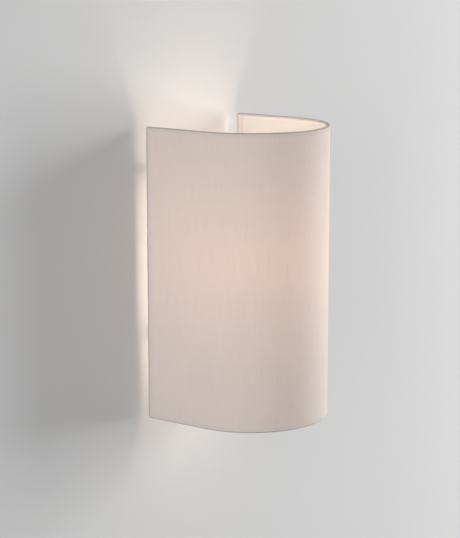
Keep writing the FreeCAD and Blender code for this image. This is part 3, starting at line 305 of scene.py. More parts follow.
def new_group(name, inputs, outputs):
    """An empty shader group; inputs and outputs are (name, kind, default)."""
    tree = bpy.data.node_groups.new(name, "ShaderNodeTree")
    for way, sockets in (("INPUT", inputs), ("OUTPUT", outputs)):
        for label, kind, start in sockets:
            made = tree.interface.new_socket(name=label, in_out=way, socket_type="NodeSocket" + kind)
            if start is not None:
                made.default_value = start
    board = Board(tree)
    entry = board.add("NodeGroupInput")
    leave = board.add("NodeGroupOutput")
    return board, entry.outputs, leave.inputs


def make_surface_variation():
    """Soft patches of a second colour, with a matching change of roughness."""
    board, entry, leave = new_group(
        "Surface variation",
        [("Colour", "Color", None), ("Patch colour", "Color", None), ("Patch size", "Float", 0.02),
         ("Stretch", "Vector", (1.0, 1.0, 1.0)), ("Amount", "Float", 0.5), ("Roughness", "Float", 0.5),
         ("Roughness change", "Float", 0.08)],
        [("Colour", "Color", None), ("Roughness", "Float", 0.5)])
    place = board.scaled(board.place(), entry["Stretch"])
    scale = board.math("DIVIDE", 1.0, entry["Patch size"])
    patches = board.band(board.noise(place, scale, detail=5.0, roughness=0.62), 0.32, 0.70)
    share = board.math("MULTIPLY", patches, entry["Amount"])
    board.feed(leave["Colour"], board.mix(share, entry["Colour"], entry["Patch colour"]))
    shift = board.math("MULTIPLY", board.math("SUBTRACT", patches, 0.5), entry["Roughness change"])
    board.feed(leave["Roughness"], board.math("ADD", entry["Roughness"], shift, clamp=True))


def make_fine_grain():
    """The height of a fine grain, stretched along one way for drawn or turned metal."""
    board, entry, leave = new_group(
        "Fine grain",
        [("Grain size", "Float", 0.0006), ("Stretch", "Vector", (1.0, 1.0, 1.0)), ("Pits", "Float", 0.3)],
        [("Height", "Float", 0.5)])
    place = board.scaled(board.place(), entry["Stretch"])
    scale = board.math("DIVIDE", 1.0, entry["Grain size"])
    fine = board.noise(place, scale, detail=2.0)
    pit_scale = board.math("MULTIPLY", scale, 0.6)
    cells = board.add("ShaderNodeTexVoronoi", {"feature": "F1"}, Vector=place, Scale=pit_scale)
    pits = board.math("MULTIPLY", cells.outputs["Distance"], entry["Pits"])
    board.feed(leave["Height"], board.math("ADD", fine, pits))


def make_settled_dust():
    """A mask of dust on what faces up, and in soft patches."""
    board, entry, leave = new_group(
        "Settled dust", [("Amount", "Float", 0.3), ("Patch size", "Float", 0.012)],
        [("Mask", "Float", 0.0)])
    up = board.parts(board.add("ShaderNodeNewGeometry").outputs["Normal"])["Z"]
    facing = board.band(up, 0.35, 0.95)
    scale = board.math("DIVIDE", 1.0, entry["Patch size"])
    patches = board.band(board.noise(board.place(), scale, detail=4.0, roughness=0.6), 0.25, 0.75)
    settled = board.math("MULTIPLY", facing, patches)
    board.feed(leave["Mask"], board.math("MULTIPLY", settled, entry["Amount"], clamp=True))


UPRIGHT_SLUBS = (900.0, 26.0, 1.0)      # noise turns per metre along and up: long upright streaks
LEVEL_SLUBS = (34.0, 1100.0, 1.0)
YARN_DRIFT_SCALE = 300.0


def make_plain_weave():
    """Over-and-under yarns with thick places, by the place on the flat cloth."""
    board, entry, leave = new_group(
        "Plain weave", [("Along", "Float", 0.0), ("Up", "Float", 0.0), ("Pitch", "Float", 0.0006)],
        [("Height", "Float", 0.5), ("Slub", "Float", 0.0), ("Gap", "Float", 0.0)])
    turns = []
    for name in ("Along", "Up"):
        turns.append(board.math("MULTIPLY", board.math("DIVIDE", entry[name], entry["Pitch"]), math.pi))
    flat = board.add("ShaderNodeCombineXYZ", X=entry["Along"], Y=entry["Up"]).outputs[0]
    drift = board.math("MULTIPLY", board.noise(flat, YARN_DRIFT_SCALE, detail=2.0), 1.2)
    warp = board.math("ABSOLUTE", board.math("SINE", board.math("ADD", turns[0], drift)))
    weft = board.math("ABSOLUTE", board.math("SINE", board.math("SUBTRACT", turns[1], drift)))
    over = board.band(board.math("SINE", board.math("ADD", turns[0], turns[1])), -0.4, 0.4)
    height = board.math("ADD", board.math("MULTIPLY", warp, over),
                        board.math("MULTIPLY", weft, board.math("SUBTRACT", 1.0, over)))
    upright = board.band(board.noise(board.scaled(flat, UPRIGHT_SLUBS), 1.0, roughness=0.6), 0.52, 0.78)
    level = board.band(board.noise(board.scaled(flat, LEVEL_SLUBS), 1.0, roughness=0.6), 0.56, 0.8)
    slub = board.math("MAXIMUM", upright, board.math("MULTIPLY", level, 0.5))
    board.feed(leave["Height"], board.math("ADD", height, board.math("MULTIPLY", slub, 0.9)))
    board.feed(leave["Slub"], slub)
    board.feed(leave["Gap"], board.math("SUBTRACT", 1.0, board.math("MAXIMUM", warp, weft)))


def make_lamp_glow():
    """Painted lamplight on a wall round the lamp, by its distance from the globe's centre, for emission.
    """
    board, entry, leave = new_group(
        "Lamp glow",
        [("Near", "Color", None), ("Everywhere", "Color", (0.0, 0.0, 0.0, 1.0)),
         ("Reach", "Float", HALF_WIDTH), ("Fall", "Float", 3.0), ("Centre", "Vector", None)],
        [("Colour", "Color", None)])
    apart = board.lay("ShaderNodeVectorMath", {"operation": "DISTANCE"}, board.place(), entry["Centre"])
    share = board.math("DIVIDE", entry["Reach"], apart["Value"], clamp=True)
    near = board.times(entry["Near"], board.math("POWER", share, entry["Fall"]))
    board.feed(leave["Colour"], board.mix(1.0, near, entry["Everywhere"], "ADD"))


def make_braid():
    """Two sets of slanting yarns round an upright sleeve."""
    board, entry, leave = new_group(
        "Braided yarns", [("Pitch", "Float", 0.0011)], [("Height", "Float", 0.5), ("Shade", "Float", 0.5)])
    place = board.parts(board.place())
    across = board.math("ADD", place["X"], place["Y"])
    rate = board.math("DIVIDE", 2 * math.pi, entry["Pitch"])
    sets = []
    for way in ("ADD", "SUBTRACT"):
        slant = board.math(way, place["Z"], board.math("MULTIPLY", across, 0.8))
        sets.append(board.math("SINE", board.math("MULTIPLY", slant, rate)))
    weave = board.band(board.math("MAXIMUM", sets[0], sets[1]), -0.4, 1.0)
    board.feed(leave["Height"], weave)
    board.feed(leave["Shade"], board.band(board.math("MULTIPLY", sets[0], sets[1]), -1.0, 1.0))


def make_shared_effects():
    """Every shader group that the finishes use."""
    make_surface_variation()
    make_fine_grain()
    make_settled_dust()
    make_plain_weave()
    make_lamp_glow()
    make_braid()


# ---------------------------------------------------------------- finishes

DUST_COLOUR = (0.46, 0.44, 0.41, 1.0)
LINED_METAL = (1.0, 1.0, 0.06)          # patches and grain drawn out along Z


def dimmed(colour, share):
    """A colour made darker by a share, and opaque."""
    return tuple(part * share for part in colour[:3]) + (1.0,)


def new_finish(name, **constants):
    """A material, its board and its Principled shader, with unlinked sockets set by name."""
    material = bpy.data.materials.new(name)
    material.use_nodes = True
    shader = material.node_tree.nodes["Principled BSDF"]
    for socket, value in constants.items():
        shader.inputs[socket.replace("_", " ")].default_value = value
    return material, Board(material.node_tree), shader.inputs


def dress(board, shader, base, varied):
    """Feeds a base colour, and the roughness that varies with it."""
    board.feed(shader["Base Color"], base)
    board.feed(shader["Roughness"], varied["Roughness"])


def bump(board, shader, height, strength, depth):
    """Relief that catches the light, from a height over the surface."""
    made = board.add("ShaderNodeBump", Strength=strength, Distance=depth, Height=height)
    board.feed(shader["Normal"], made.outputs[0])


def coated(name, colour, roughness, grain, relief, patch, change, dust=0.0, stretch=(1.0, 1.0, 1.0),
           **constants):
    """Paint, moulding or metal: patches, grain and dust. The grain, relief and patch are in mm."""
    material, board, shader = new_finish(name, **constants)
    varied = board.group("Surface variation", Colour=colour, Patch_colour=dimmed(colour, change),
                         Patch_size=patch * MM, Stretch=stretch, Amount=0.8, Roughness=roughness)
    settled = board.group("Settled dust", Amount=dust)["Mask"]
    dulled = board.math("MULTIPLY", settled, 0.5)
    board.feed(shader["Base Color"], board.mix(settled, varied["Colour"], DUST_COLOUR))
    board.feed(shader["Roughness"], board.math("ADD", varied["Roughness"], dulled, clamp=True))
    height = board.group("Fine grain", Grain_size=grain * MM, Stretch=stretch)["Height"]
    bump(board, shader, height, 0.35, relief * MM)
    return material


SLUBS_SHOW = 0.52            # how much of the slubs' and gaps' own colours shows
GAPS_SHOW = 0.35
GAP_DARKNESS = 0.8           # colours of the weave's gaps, and of the rolls' painted shade, as shares of the slubs'
ROLL_SHADE_PAINTED = 0.62


def cloth_finish(settings, glow):
    """Cotton: plain weave and slubs. The lamp's light through it is painted on as emission where it is one
    layer thick, and painted shade darkens its rolled rims.
    """
    material, board, shader = new_finish(
        "Shade cotton", Sheen_Weight=0.18, Sheen_Roughness=0.55, Specular_IOR_Level=0.25,
        Emission_Strength=1.0)
    marks = board.add("ShaderNodeAttribute", {"attribute_name": "cloth_place"}).outputs["Vector"]
    place = board.parts(marks)
    weave = board.group("Plain weave", Along=place["X"], Up=place["Y"], Pitch=settings.yarn_pitch)
    varied = board.group("Surface variation", Colour=settings.cloth_colour,
                         Patch_colour=dimmed(settings.cloth_colour, 0.955), Patch_size=50 * MM,
                         Amount=0.7, Roughness=0.86, Roughness_change=0.06)
    slubs = board.math("MULTIPLY", weave["Slub"], SLUBS_SHOW)
    gaps = board.math("MULTIPLY", weave["Gap"], GAPS_SHOW)
    # Painted shade: where the doubling is over 0.65, on the rims' tops, undersides and inner sides, the
    # base colour darkens.
    rolled = board.band(place["Z"], 0.65, 1.0)
    base = board.mix(slubs, varied["Colour"], settings.slub_colour)
    base = board.mix(gaps, base, dimmed(settings.slub_colour, GAP_DARKNESS))
    base = board.mix(rolled, base, dimmed(settings.slub_colour, ROLL_SHADE_PAINTED))
    dress(board, shader, base, varied)
    # Painted glow: the lamp's light through the cloth, as emission, weaker where the cloth is doubled or
    # slubbed.
    through = board.group("Lamp glow", Near=glow.direct_glow, Fall=glow.glow_fall,
                          Centre=LAMP_CENTRE + Vector((0, 0, glow.glow_lift)))["Colour"]
    single = board.math("SUBTRACT", 1.0, place["Z"], clamp=True)
    thinness = board.band(weave["Slub"], 0.0, 1.0, 1.04, 0.80)
    board.feed(shader["Emission Color"], board.times(through, board.math("MULTIPLY", single, thinness)))
    bump(board, shader, weave["Height"], 0.5, 0.12 * MM)
    return material


def liner_finish(colour, glow):
    """Styrene film with the cloth's weave faintly showing, and the lamp's light on it painted as emission.
    """
    material, board, shader = new_finish("Liner film", Specular_IOR_Level=0.4, Emission_Strength=1.0)
    varied = board.group("Surface variation", Colour=colour, Patch_colour=dimmed(colour, 0.95),
                         Patch_size=40 * MM, Stretch=(1.0, 1.0, 0.4), Amount=0.6, Roughness=0.55)
    dress(board, shader, varied["Colour"], varied)
    lit = board.group("Lamp glow", Near=glow.liner_glow, Everywhere=dimmed(glow.liner_glow, 0.6),
                      Centre=LAMP_CENTRE)["Colour"]
    board.feed(shader["Emission Color"], lit)
    height = board.group("Fine grain", Grain_size=0.5 * MM, Stretch=(1.0, 1.0, 0.15), Pits=0.1)["Height"]
    bump(board, shader, height, 0.2, 0.03 * MM)
    return material


def globe_finish(glow):
    """The opal diffuser: brightest where the chips shine on it, softer at its foot."""
    material, board, shader = new_finish(
        "Lit diffuser", Emission_Strength=glow.globe_strength, IOR=1.5, Coat_Weight=0.2)
    varied = board.group("Surface variation", Colour=(0.86, 0.84, 0.79, 1.0),
                         Patch_colour=(0.83, 0.81, 0.76, 1.0), Patch_size=20 * MM, Roughness=0.34)
    dress(board, shader, varied["Colour"], varied)
    full_height = GLOBE_LOW.z + 0.9 * (GLOBE_TOP - GLOBE_LOW.z)
    crown = board.band(board.parts(board.place())["Z"], GLOBE_LOW.z, full_height)
    lit = board.mix(crown, dimmed(glow.globe_colour, glow.globe_foot), glow.globe_colour)
    board.feed(shader["Emission Color"], lit)
    grain = board.group("Fine grain", Grain_size=0.4 * MM, Pits=0.1)["Height"]
    bump(board, shader, grain, 0.15, 0.02 * MM)
    return material


def sleeve_finish():
    """Varnished glass-fibre braid."""
    material, board, shader = new_finish("Glass-fibre sleeve", Specular_IOR_Level=0.35, Sheen_Weight=0.1)
    braid = board.group("Braided yarns")
    varied = board.group("Surface variation", Colour=(0.74, 0.72, 0.66, 1.0),
                         Patch_colour=(0.64, 0.61, 0.54, 1.0), Patch_size=8 * MM, Roughness=0.62)
    crossings = board.math("MULTIPLY", braid["Shade"], 0.4)
    dress(board, shader, board.mix(crossings, varied["Colour"], (0.55, 0.52, 0.46, 1.0)), varied)
    bump(board, shader, braid["Height"], 0.6, 0.15 * MM)
    return material


def striped_insulation(name, colour, stripe):
    """Green insulation with a yellow stripe along it."""
    material, board, shader = new_finish(name, Specular_IOR_Level=0.4)
    low, high = (Vector(corner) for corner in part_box("earth_lead"))
    side = board.math("GREATER_THAN", board.parts(board.place())["Y"], (low.y + high.y) / 2)
    varied = board.group("Surface variation", Colour=board.mix(side, stripe, colour),
                         Patch_colour=dimmed(colour, 0.85), Patch_size=6 * MM, Amount=0.3,
                         Roughness=0.42)
    dress(board, shader, varied["Colour"], varied)
    height = board.group("Fine grain", Grain_size=0.3 * MM, Pits=0.1)["Height"]
    bump(board, shader, height, 0.2, 0.02 * MM)
    return material


def insulation(name, colour):
    """The skin of a lead."""
    return coated(name, colour, roughness=0.42, grain=0.3, relief=0.02, patch=6, change=0.8, dust=0.1)


def make_finishes(settings, glow, colours):
    """Every finish, by the model's material slot."""
    return {
        "shade_fabric": cloth_finish(settings, glow),
        "liner_film": liner_finish(colours.liner_colour, glow),
        "frosted_globe": globe_finish(glow),
        "glass_sleeve": sleeve_finish(),
        "earth_insulation": striped_insulation("Earth insulation", (0.06, 0.26, 0.05, 1.0),
                                               (0.80, 0.62, 0.05, 1.0)),
        "brown_insulation": insulation("Brown insulation", (0.10, 0.042, 0.018, 1.0)),
        "blue_insulation": insulation("Blue insulation", (0.025, 0.09, 0.36, 1.0)),
        "frame_wire": coated(
            "Coated wire", colours.wire_colour, roughness=0.38, grain=0.5, relief=0.03, patch=10,
            change=0.95, dust=0.15),
        "white_steel": coated(
            "White powder coat", colours.coat_colour, roughness=0.42, grain=0.7, relief=0.05, patch=40,
            change=0.95, dust=0.3, Specular_IOR_Level=0.45),
        "zinc_steel": coated(
            "Zinc plate", colours.zinc_colour, roughness=0.34, grain=0.25, relief=0.02, patch=4,
            change=0.78, dust=0.1, Metallic=1.0),
        "brass": coated(
            "Turned brass", colours.brass_colour, roughness=0.27, grain=0.2, relief=0.015, patch=6,
            change=0.72, dust=0.05, stretch=LINED_METAL, Metallic=1.0),
        "tinned_copper": coated(
            "Tinned copper", (0.70, 0.69, 0.66, 1.0), roughness=0.3, grain=0.2, relief=0.015, patch=3,
            change=0.8, dust=0.05, Metallic=1.0),
        "nickel_plate": coated(
            "Nickel plate", (0.68, 0.66, 0.62, 1.0), roughness=0.2, grain=0.3, relief=0.01, patch=6,
            change=0.86, dust=0.05, Metallic=1.0),
        "cup_aluminium": coated(
            "Pressed aluminium", (0.76, 0.77, 0.78, 1.0), roughness=0.36, grain=0.3, relief=0.02,
            patch=8, change=0.85, stretch=LINED_METAL, Metallic=1.0),
        "capacitor_can": coated(
            "Sleeved can", (0.02, 0.025, 0.05, 1.0), roughness=0.3, grain=0.4, relief=0.01, patch=4,
            change=0.8, Coat_Weight=0.3),
        "buffer_rubber": coated(
            "Pale rubber", (0.56, 0.56, 0.54, 1.0), roughness=0.74, grain=0.35, relief=0.05, patch=4,
            change=0.88, dust=0.4, Sheen_Weight=0.15),
        "white_nylon": coated(
            "Moulded nylon", colours.nylon_colour, roughness=0.48, grain=0.45, relief=0.05, patch=20,
            change=0.94, dust=0.2, Subsurface_Weight=0.05),
        "grey_moulding": coated(
            "Grey moulding", (0.40, 0.385, 0.35, 1.0), roughness=0.55, grain=0.4, relief=0.04, patch=8,
            change=0.85, dust=0.1),
        "black_phenolic": coated(
            "Black phenolic", colours.phenolic_colour, roughness=0.26, grain=0.8, relief=0.02, patch=12,
            change=0.7, dust=0.1, Specular_IOR_Level=0.35),
        "black_glass": coated(
            "Black glass", (0.01, 0.01, 0.012, 1.0), roughness=0.1, grain=0.6, relief=0.01, patch=6,
            change=0.7, Coat_Weight=0.5),
        "bulb_housing": coated(
            "Lamp housing", (0.80, 0.80, 0.79, 1.0), roughness=0.3, grain=0.5, relief=0.02, patch=20,
            change=0.96, dust=0.15, Coat_Weight=0.25),
        "board_white": coated(
            "White solder mask", (0.80, 0.80, 0.78, 1.0), roughness=0.35, grain=0.3, relief=0.01,
            patch=10, change=0.94),
        "board_green": coated(
            "Green solder mask", (0.015, 0.10, 0.035, 1.0), roughness=0.3, grain=0.3, relief=0.01,
            patch=6, change=0.8, Coat_Weight=0.3),
        "led_phosphor": coated(
            "Phosphor", (0.85, 0.62, 0.12, 1.0), roughness=0.4, grain=0.2, relief=0.02, patch=2,
            change=0.9),
        "ferrite": coated(
            "Ferrite", (0.03, 0.03, 0.033, 1.0), roughness=0.5, grain=0.25, relief=0.03, patch=3,
            change=0.7),
    }


FINISHES = {}                # every finish by its slot, filled by main


def add_object(name, data):
    """A new object in the scene."""
    made = bpy.data.objects.new(name, data)
    bpy.context.scene.collection.objects.link(made)
    return made


def finish_nodes(names):
    """Gives the CAD nodes their finishes by their slots in the record."""
    slots = {part["node"]: part["material_slot"] for part in frame["record"]["subparts"]}
    for name in names:
        if name not in frame["nodes"]:
            raise RuntimeError(f"the model has no node named {name}")
        mesh = frame["nodes"][name].data
        mesh.materials.clear()
        mesh.materials.append(FINISHES[slots[name]])


# ---------------------------------------------------------------- the shade's cloth

SIDE_LENGTH = WIRE_Y - FRONT_CENTRE_Y
ARC_LENGTH = math.pi * HALF_WIDTH
PLAN_LENGTH = 2 * SIDE_LENGTH + ARC_LENGTH
HEM_INSET = SHADE_HIGH.y - WIRE_Y       # rear wire's axis to the shade's rear edge
LEAD_LENGTH = 1.8 * ROLL_R              # rim wire's axis to where the face is flat

RIM_WAVE = 9 * MM            # how long the cloth's small unevennesses are
FOLD_WAVE = 8 * MM
FACE_WAVE = 35 * MM
CALM = 12 * MM               # the face comes true over this length below a rim's wire

# The third number of cloth_place tells how much a place is doubled: 0 is a single layer, which gets the
# lamp's full painted glow, and 1 is cloth that gets none of it. From 0.65 up it also darkens the base
# colour as painted shade.
SINGLE = 0.0
HEM = 0.12                   # the face over a hem
LEAD_IN = 0.3                # the face just under a roll
ROLL_LEAST = 0.4
ROLL_BACK = 0.7              # the roll's inner side, given a little painted shade
UPPER_RIM = 0.85             # the upper rim's doubling and painted shade, as a share of the lower's, whose underside is painted darkest
FOLD_ROLL = 0.85             # a side fold's, likewise, with painted shade round its roll
FOLD_LEAST = 0.6
BEHIND = 1.0                 # the cloth's inner face, on the liner


def plan_station(along):
    """A place on the shade's plan outline, and the way in from it, by the length from the left rear."""
    if along < SIDE_LENGTH:
        return Vector((-HALF_WIDTH, WIRE_Y - along, 0)), Vector((1, 0, 0))
    if along > SIDE_LENGTH + ARC_LENGTH:
        back = FRONT_CENTRE_Y + along - SIDE_LENGTH - ARC_LENGTH
        return Vector((HALF_WIDTH, back, 0)), Vector((-1, 0, 0))
    angle = math.pi + (along - SIDE_LENGTH) / HALF_WIDTH
    out = Vector((math.cos(angle), math.sin(angle), 0))
    return Vector((0, FRONT_CENTRE_Y, 0)) + out * HALF_WIDTH, -out


def curve_points(start, one, two, end, count):
    """Points along a curve with two handles, without its start."""
    points = []
    for k in range(1, count + 1):
        t = k / count
        weights = ((1 - t) ** 3, 3 * t * (1 - t) ** 2, 3 * t * t * (1 - t), t ** 3)
        parts = (Vector(point) * weight for point, weight in zip((start, one, two, end), weights))
        points.append(sum(parts, Vector((0, 0))))
    return points


def face_inset(settings):
    """How far the cloth's outer face lies inside the rolled rims."""
    return LINER_OUTER - settings.cloth_thickness


def rim_roll(settings):
    """Half of the cloth's section at a rim: from the face over the rim's wire to the liner."""
    face = face_inset(settings)
    start_angle = math.radians(12)
    shade_ramp = math.radians(25)
    back_from = math.radians(105)
    touch = Vector((ROLL_R - ROLL_R * math.cos(start_angle), -ROLL_R * math.sin(start_angle)))
    handle = Vector((-math.sin(start_angle), math.cos(start_angle))) * 0.9 * ROLL_R
    lead_in = curve_points((face, -LEAD_LENGTH), (face, -0.9 * ROLL_R), touch - handle, touch, 5)
    roll = [(point.x, RING_Z + point.y, LEAD_IN) for point in lead_in]
    turn = 2 * math.pi - math.acos(1 - LINER_OUTER / ROLL_R)
    for k in range(1, settings.roll_sides + 1):
        angle = turn * k / settings.roll_sides - start_angle
        # The doubling climbs over the first part of the turn, so the roll's top and underside take the
        # most painted shade.
        layers = min(1.0, max(ROLL_LEAST, angle / shade_ramp)) if angle < back_from else ROLL_BACK
        roll.append((ROLL_R - ROLL_R * math.cos(angle), RING_Z + ROLL_R * math.sin(angle), layers))
    return roll


def wall_profile(settings):
    """The cloth's closed section, as (inset, height, layers): up the face, over the top, and back."""
    face = face_inset(settings)
    span = RING_Z - LEAD_LENGTH
    rows = max(8, round(2 * span / settings.row_step))
    rises = [-span + 2 * span * k / rows for k in range(rows + 1)]
    roll = rim_roll(settings)
    lower = [(inset, -height, layers) for inset, height, layers in reversed(roll)]
    outer = [(face, height, SINGLE) for height in rises]
    upper = [(inset, height, UPPER_RIM * layers) for inset, height, layers in roll]
    inner = [(LINER_OUTER, -height, BEHIND) for height in rises]
    return lower + outer + upper + inner


def swept_skin(name, rings):
    """A closed skin through rings, each a list of points with their cloth_place."""
    shape = bmesh.new()
    store = shape.verts.layers.float_vector.new("cloth_place")
    grid = []
    for ring in rings:
        row = []
        for point, mark in ring:
            vert = shape.verts.new(point)
            vert[store] = mark
            row.append(vert)
        grid.append(row)
    for one, two in zip(grid, grid[1:]):
        for k in range(len(one)):
            after = (k + 1) % len(one)
            shape.faces.new((one[k], one[after], two[after], two[k]))
    shape.faces.new(tuple(reversed(grid[0])))
    shape.faces.new(tuple(grid[-1]))
    bmesh.ops.recalc_face_normals(shape, faces=shape.faces)
    for face in shape.faces:
        face.smooth = len(face.verts) == 4
    mesh = bpy.data.meshes.new(name)
    shape.to_mesh(mesh)
    shape.free()
    return add_object(name, mesh)


def wander(along, height, amount, size, seed):
    """A small smooth unevenness, within the amount either way."""
    return amount * noise.noise(Vector((along / size, height / size, seed)))


def uneven(settings, along, inset, height):
    """A point of the section, moved a little: rims swell and sag, and the face wanders inwards."""
    if inset > face_inset(settings) and abs(height) > RING_Z - ROLL_R:
        swell = wander(along, height, settings.rim_swell, RIM_WAVE, 2.0)
        return inset + max(swell, 0.0) * 0.5, height - math.copysign(abs(swell) * 0.6, height)
    if inset < LINER_OUTER:
        from_rim = min(1.0, max(0.0, (RING_Z - abs(height)) / CALM))
        inset += from_rim * abs(wander(along, height, settings.face_wander, FACE_WAVE, 7.0))
    return inset, height


def make_wall_cloth(settings):
    """The face of the shade with its rolled rims, from one rear wire to the other."""
    profile = wall_profile(settings)
    count = round(PLAN_LENGTH / settings.column_step)
    rings = []
    for k in range(count + 1):
        along = PLAN_LENGTH * k / count
        place, inward = plan_station(along)
        from_edge = min(along, PLAN_LENGTH - along) + HEM_INSET
        hem = HEM if from_edge < settings.hem_reach else SINGLE
        ring = []
        for inset, height, layers in profile:
            inset, height = uneven(settings, along, inset, height)
            point = place + inward * inset + Vector((0, 0, height))
            ring.append((point, (along, height, max(layers, hem))))
        rings.append(ring)
    return swept_skin("shade_cloth_wall", rings)


def fold_profile(settings):
    """A side fold's closed section as (inset, depth from the wire, layers): roll and inner hem."""
    inner_face = HALF_WIDTH - LINER_HIGH.x + LINER_THICKNESS
    strip = settings.cloth_thickness
    free = HEM_INSET - settings.hem_reach
    tip = 0.3 * strip        # the hem's free edge is eased by this
    hem = [(inner_face + 0.02 * MM, free + tip), (inner_face + tip, free),
           (inner_face + strip - tip, free), (inner_face + strip, free + tip)]
    points = [(inset, depth, FOLD_LEAST) for inset, depth in hem]
    first, last, shade_ramp = (math.radians(angle) for angle in (-78, 192, 100))
    for k in range(settings.roll_sides + 1):
        angle = first + (last - first) * k / settings.roll_sides
        # The doubling climbs round the fold's roll, which gives it painted shade along the rear edge.
        layers = FOLD_ROLL * min(1.0, max(FOLD_LEAST, angle / shade_ramp))
        points.append((ROLL_R + ROLL_R * math.cos(angle), ROLL_R * math.sin(angle), layers))
    face = face_inset(settings)
    seam = [(0.5 * face, -ROLL_R), (face + 0.04 * MM, -1.6 * ROLL_R), (LINER_OUTER, -1.4 * ROLL_R)]
    return points + [(inset, depth, HEM) for inset, depth in seam]


def fold_spine(settings):
    """Heights up a side fold, each with its share of the full section: its ends are rounded."""
    rows = round(2 * RING_Z / settings.row_step)
    middle = [(-RING_Z + 2 * RING_Z * k / rows, 1.0) for k in range(rows + 1)]
    steps = 5
    lead = 0.6               # the first step in from the tip, as a share of the others
    rise = 0.98 * ROLL_R
    ends = []
    for k in range(steps):
        angle = math.pi / 2 * (k + lead) / (steps + lead)
        ends.append((RING_Z + rise * math.cos(angle), math.sin(angle)))
    return [(-height, share) for height, share in ends] + middle + ends[::-1]


def make_side_fold(name, side, settings, seed):
    """The cloth turned in round a rear wire, with its hem inside, as one upright sweep."""
    section = fold_profile(settings)
    middle = Vector((ROLL_R, 0.0))
    step = 0.4 * MM          # about the length of cloth between two points of the section
    rings = []
    for height, share in fold_spine(settings):
        ring = []
        for k, (inset, depth, layers) in enumerate(section):
            near = middle + (Vector((inset, depth)) - middle) * share
            swell = wander(k * MM, height, settings.rim_swell, FOLD_WAVE, seed)
            near.x += max(swell, 0.0) * 0.4
            x = side * (HALF_WIDTH - near.x)
            y = min(WIRE_Y + near.y, SHADE_HIGH.y)
            ring.append((Vector((x, y, height)), (seed * 0.1 + k * step, height, layers)))
        rings.append(ring)
    return swept_skin(name, rings)


class WALLLIGHT_OT_shade_cloth(bpy.types.Operator):
    """Make the shade's cloth: its face with rolled rims, and a fold round each rear wire"""
    bl_idname = "wall_light.shade_cloth"
    bl_label = "Shade Cloth"

    def execute(self, context):
        settings = context.scene.shade_cloth
        wall = make_wall_cloth(settings)
        folds = [make_side_fold("left_side_fold", -1, settings, 3.0),
                 make_side_fold("right_side_fold", 1, settings, 5.0)]
        for piece in [wall] + folds:
            piece.data.materials.append(FINISHES["shade_fabric"])
            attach(piece, "shade")
            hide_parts("shade_fabric")
        return {"FINISHED"}


class WALLLIGHT_OT_shade_frame(bpy.types.Operator):
    """Finish the liner film and the coated wires that stretch it"""
    bl_idname = "wall_light.shade_frame"
    bl_label = "Liner and Wires"

    def execute(self, context):
        finish_nodes(["shade_liner", "top_ring", "bottom_ring", "left_upright", "right_upright",
                      "hanging_bar", "rest_lugs"])
        return {"FINISHED"}


class WALLLIGHT_OT_wall_unit(bpy.types.Operator):
    """Finish the wall plate, its two bars, buffers and rivets, and the lamp arm"""
    bl_idname = "wall_light.wall_unit"
    bl_label = "Plate, Bars and Arm"

    def execute(self, context):
        finish_nodes(["wall_plate", "hanger_bar", "stand_off_bar", "stand_off_buffers", "bar_rivets",
                      "lamp_arm", "arm_rivets"])
        return {"FINISHED"}


class WALLLIGHT_OT_terminals(bpy.types.Operator):
    """Finish the terminal block, the earth point and the cover over them"""
    bl_idname = "wall_light.terminals"
    bl_label = "Terminals and Cover"

    def execute(self, context):
        finish_nodes(["entry_bush", "terminal_block", "terminal_barrels", "terminal_screws",
                      "block_standoffs", "block_screws", "earth_stud", "earth_tag", "earth_washer",
                      "earth_nut", "terminal_cover", "cover_screws"])
        return {"FINISHED"}


class WALLLIGHT_OT_leads(bpy.types.Operator):
    """Finish the three leads, their sleeve and the bushes they pass through"""
    bl_idname = "wall_light.leads"
    bl_label = "Leads and Bushes"

    def execute(self, context):
        finish_nodes(["live_lead", "neutral_lead", "earth_lead", "lead_sleeve", "lead_bush", "arm_bush"])
        return {"FINISHED"}


class WALLLIGHT_OT_holder(bpy.types.Operator):
    """Finish the lamp holder and the nipple that carries it"""
    bl_idname = "wall_light.holder"
    bl_label = "Lamp Holder"

    def execute(self, context):
        finish_nodes(["nipple", "nipple_washer", "nipple_nut", "holder_cap", "holder_skirt",
                      "holder_insert", "thread_shell", "centre_contact", "shell_contact",
                      "holder_posts", "holder_post_screws"])
        return {"FINISHED"}


def add_light(name, kind, place, power, colour=WHITE[:3]):
    """A light that the camera doesn't see, white unless a colour is given."""
    light = bpy.data.lights.new(name, kind)
    light.energy = power
    light.color = colour
    lamp = add_object(name, light)
    lamp.location = place
    lamp.visible_camera = False
    return lamp


def soft_bulb(name, place, power, colour):
    """A round soft light inside the shade."""
    lamp = add_light(name, "POINT", place, power, colour)
    lamp.data.shadow_soft_size = 0.75 * GLOBE_R
    lamp.visible_glossy = False


class WALLLIGHT_OT_lamp(bpy.types.Operator):
    """Finish the lamp, lit, and put its light in the globe and off the shade's inside"""
    bl_idname = "wall_light.lamp"
    bl_label = "Lamp"

    def execute(self, context):
        glow = context.scene.lamp_glow
        finish_nodes(["bulb_globe", "bulb_body", "bulb_cap", "cap_insulator", "cap_contact", "heat_cup",
                      "led_board", "led_chips", "driver_board", "driver_capacitor",
                      "driver_transformer", "bulb_leads"])
        frame["nodes"]["bulb_globe"].visible_shadow = False
        soft_bulb("lamp_light", LAMP_CENTRE, glow.lamp_power, glow.lamp_colour)
        for side in (-1, 1):
            beside_holder = (side * 1.5 * GLOBE_R, 0.75 * LAMP_CENTRE.y, 0.55 * SHADE_LOW.z)
            soft_bulb("bounce_light", beside_holder, glow.bounce_power, glow.lamp_colour)
        return {"FINISHED"}


# ---------------------------------------------------------------- stage

WALL_GAP = 0.2 * MM          # the wall's paint stands this far behind the plate
KEY_PLACE = (2.9, -1.35, 0.15)
KEY_SIZE = 1.7
FILL_PLACE = (-2.6, -0.55, 0.3)
FILL_SIZE = 1.6


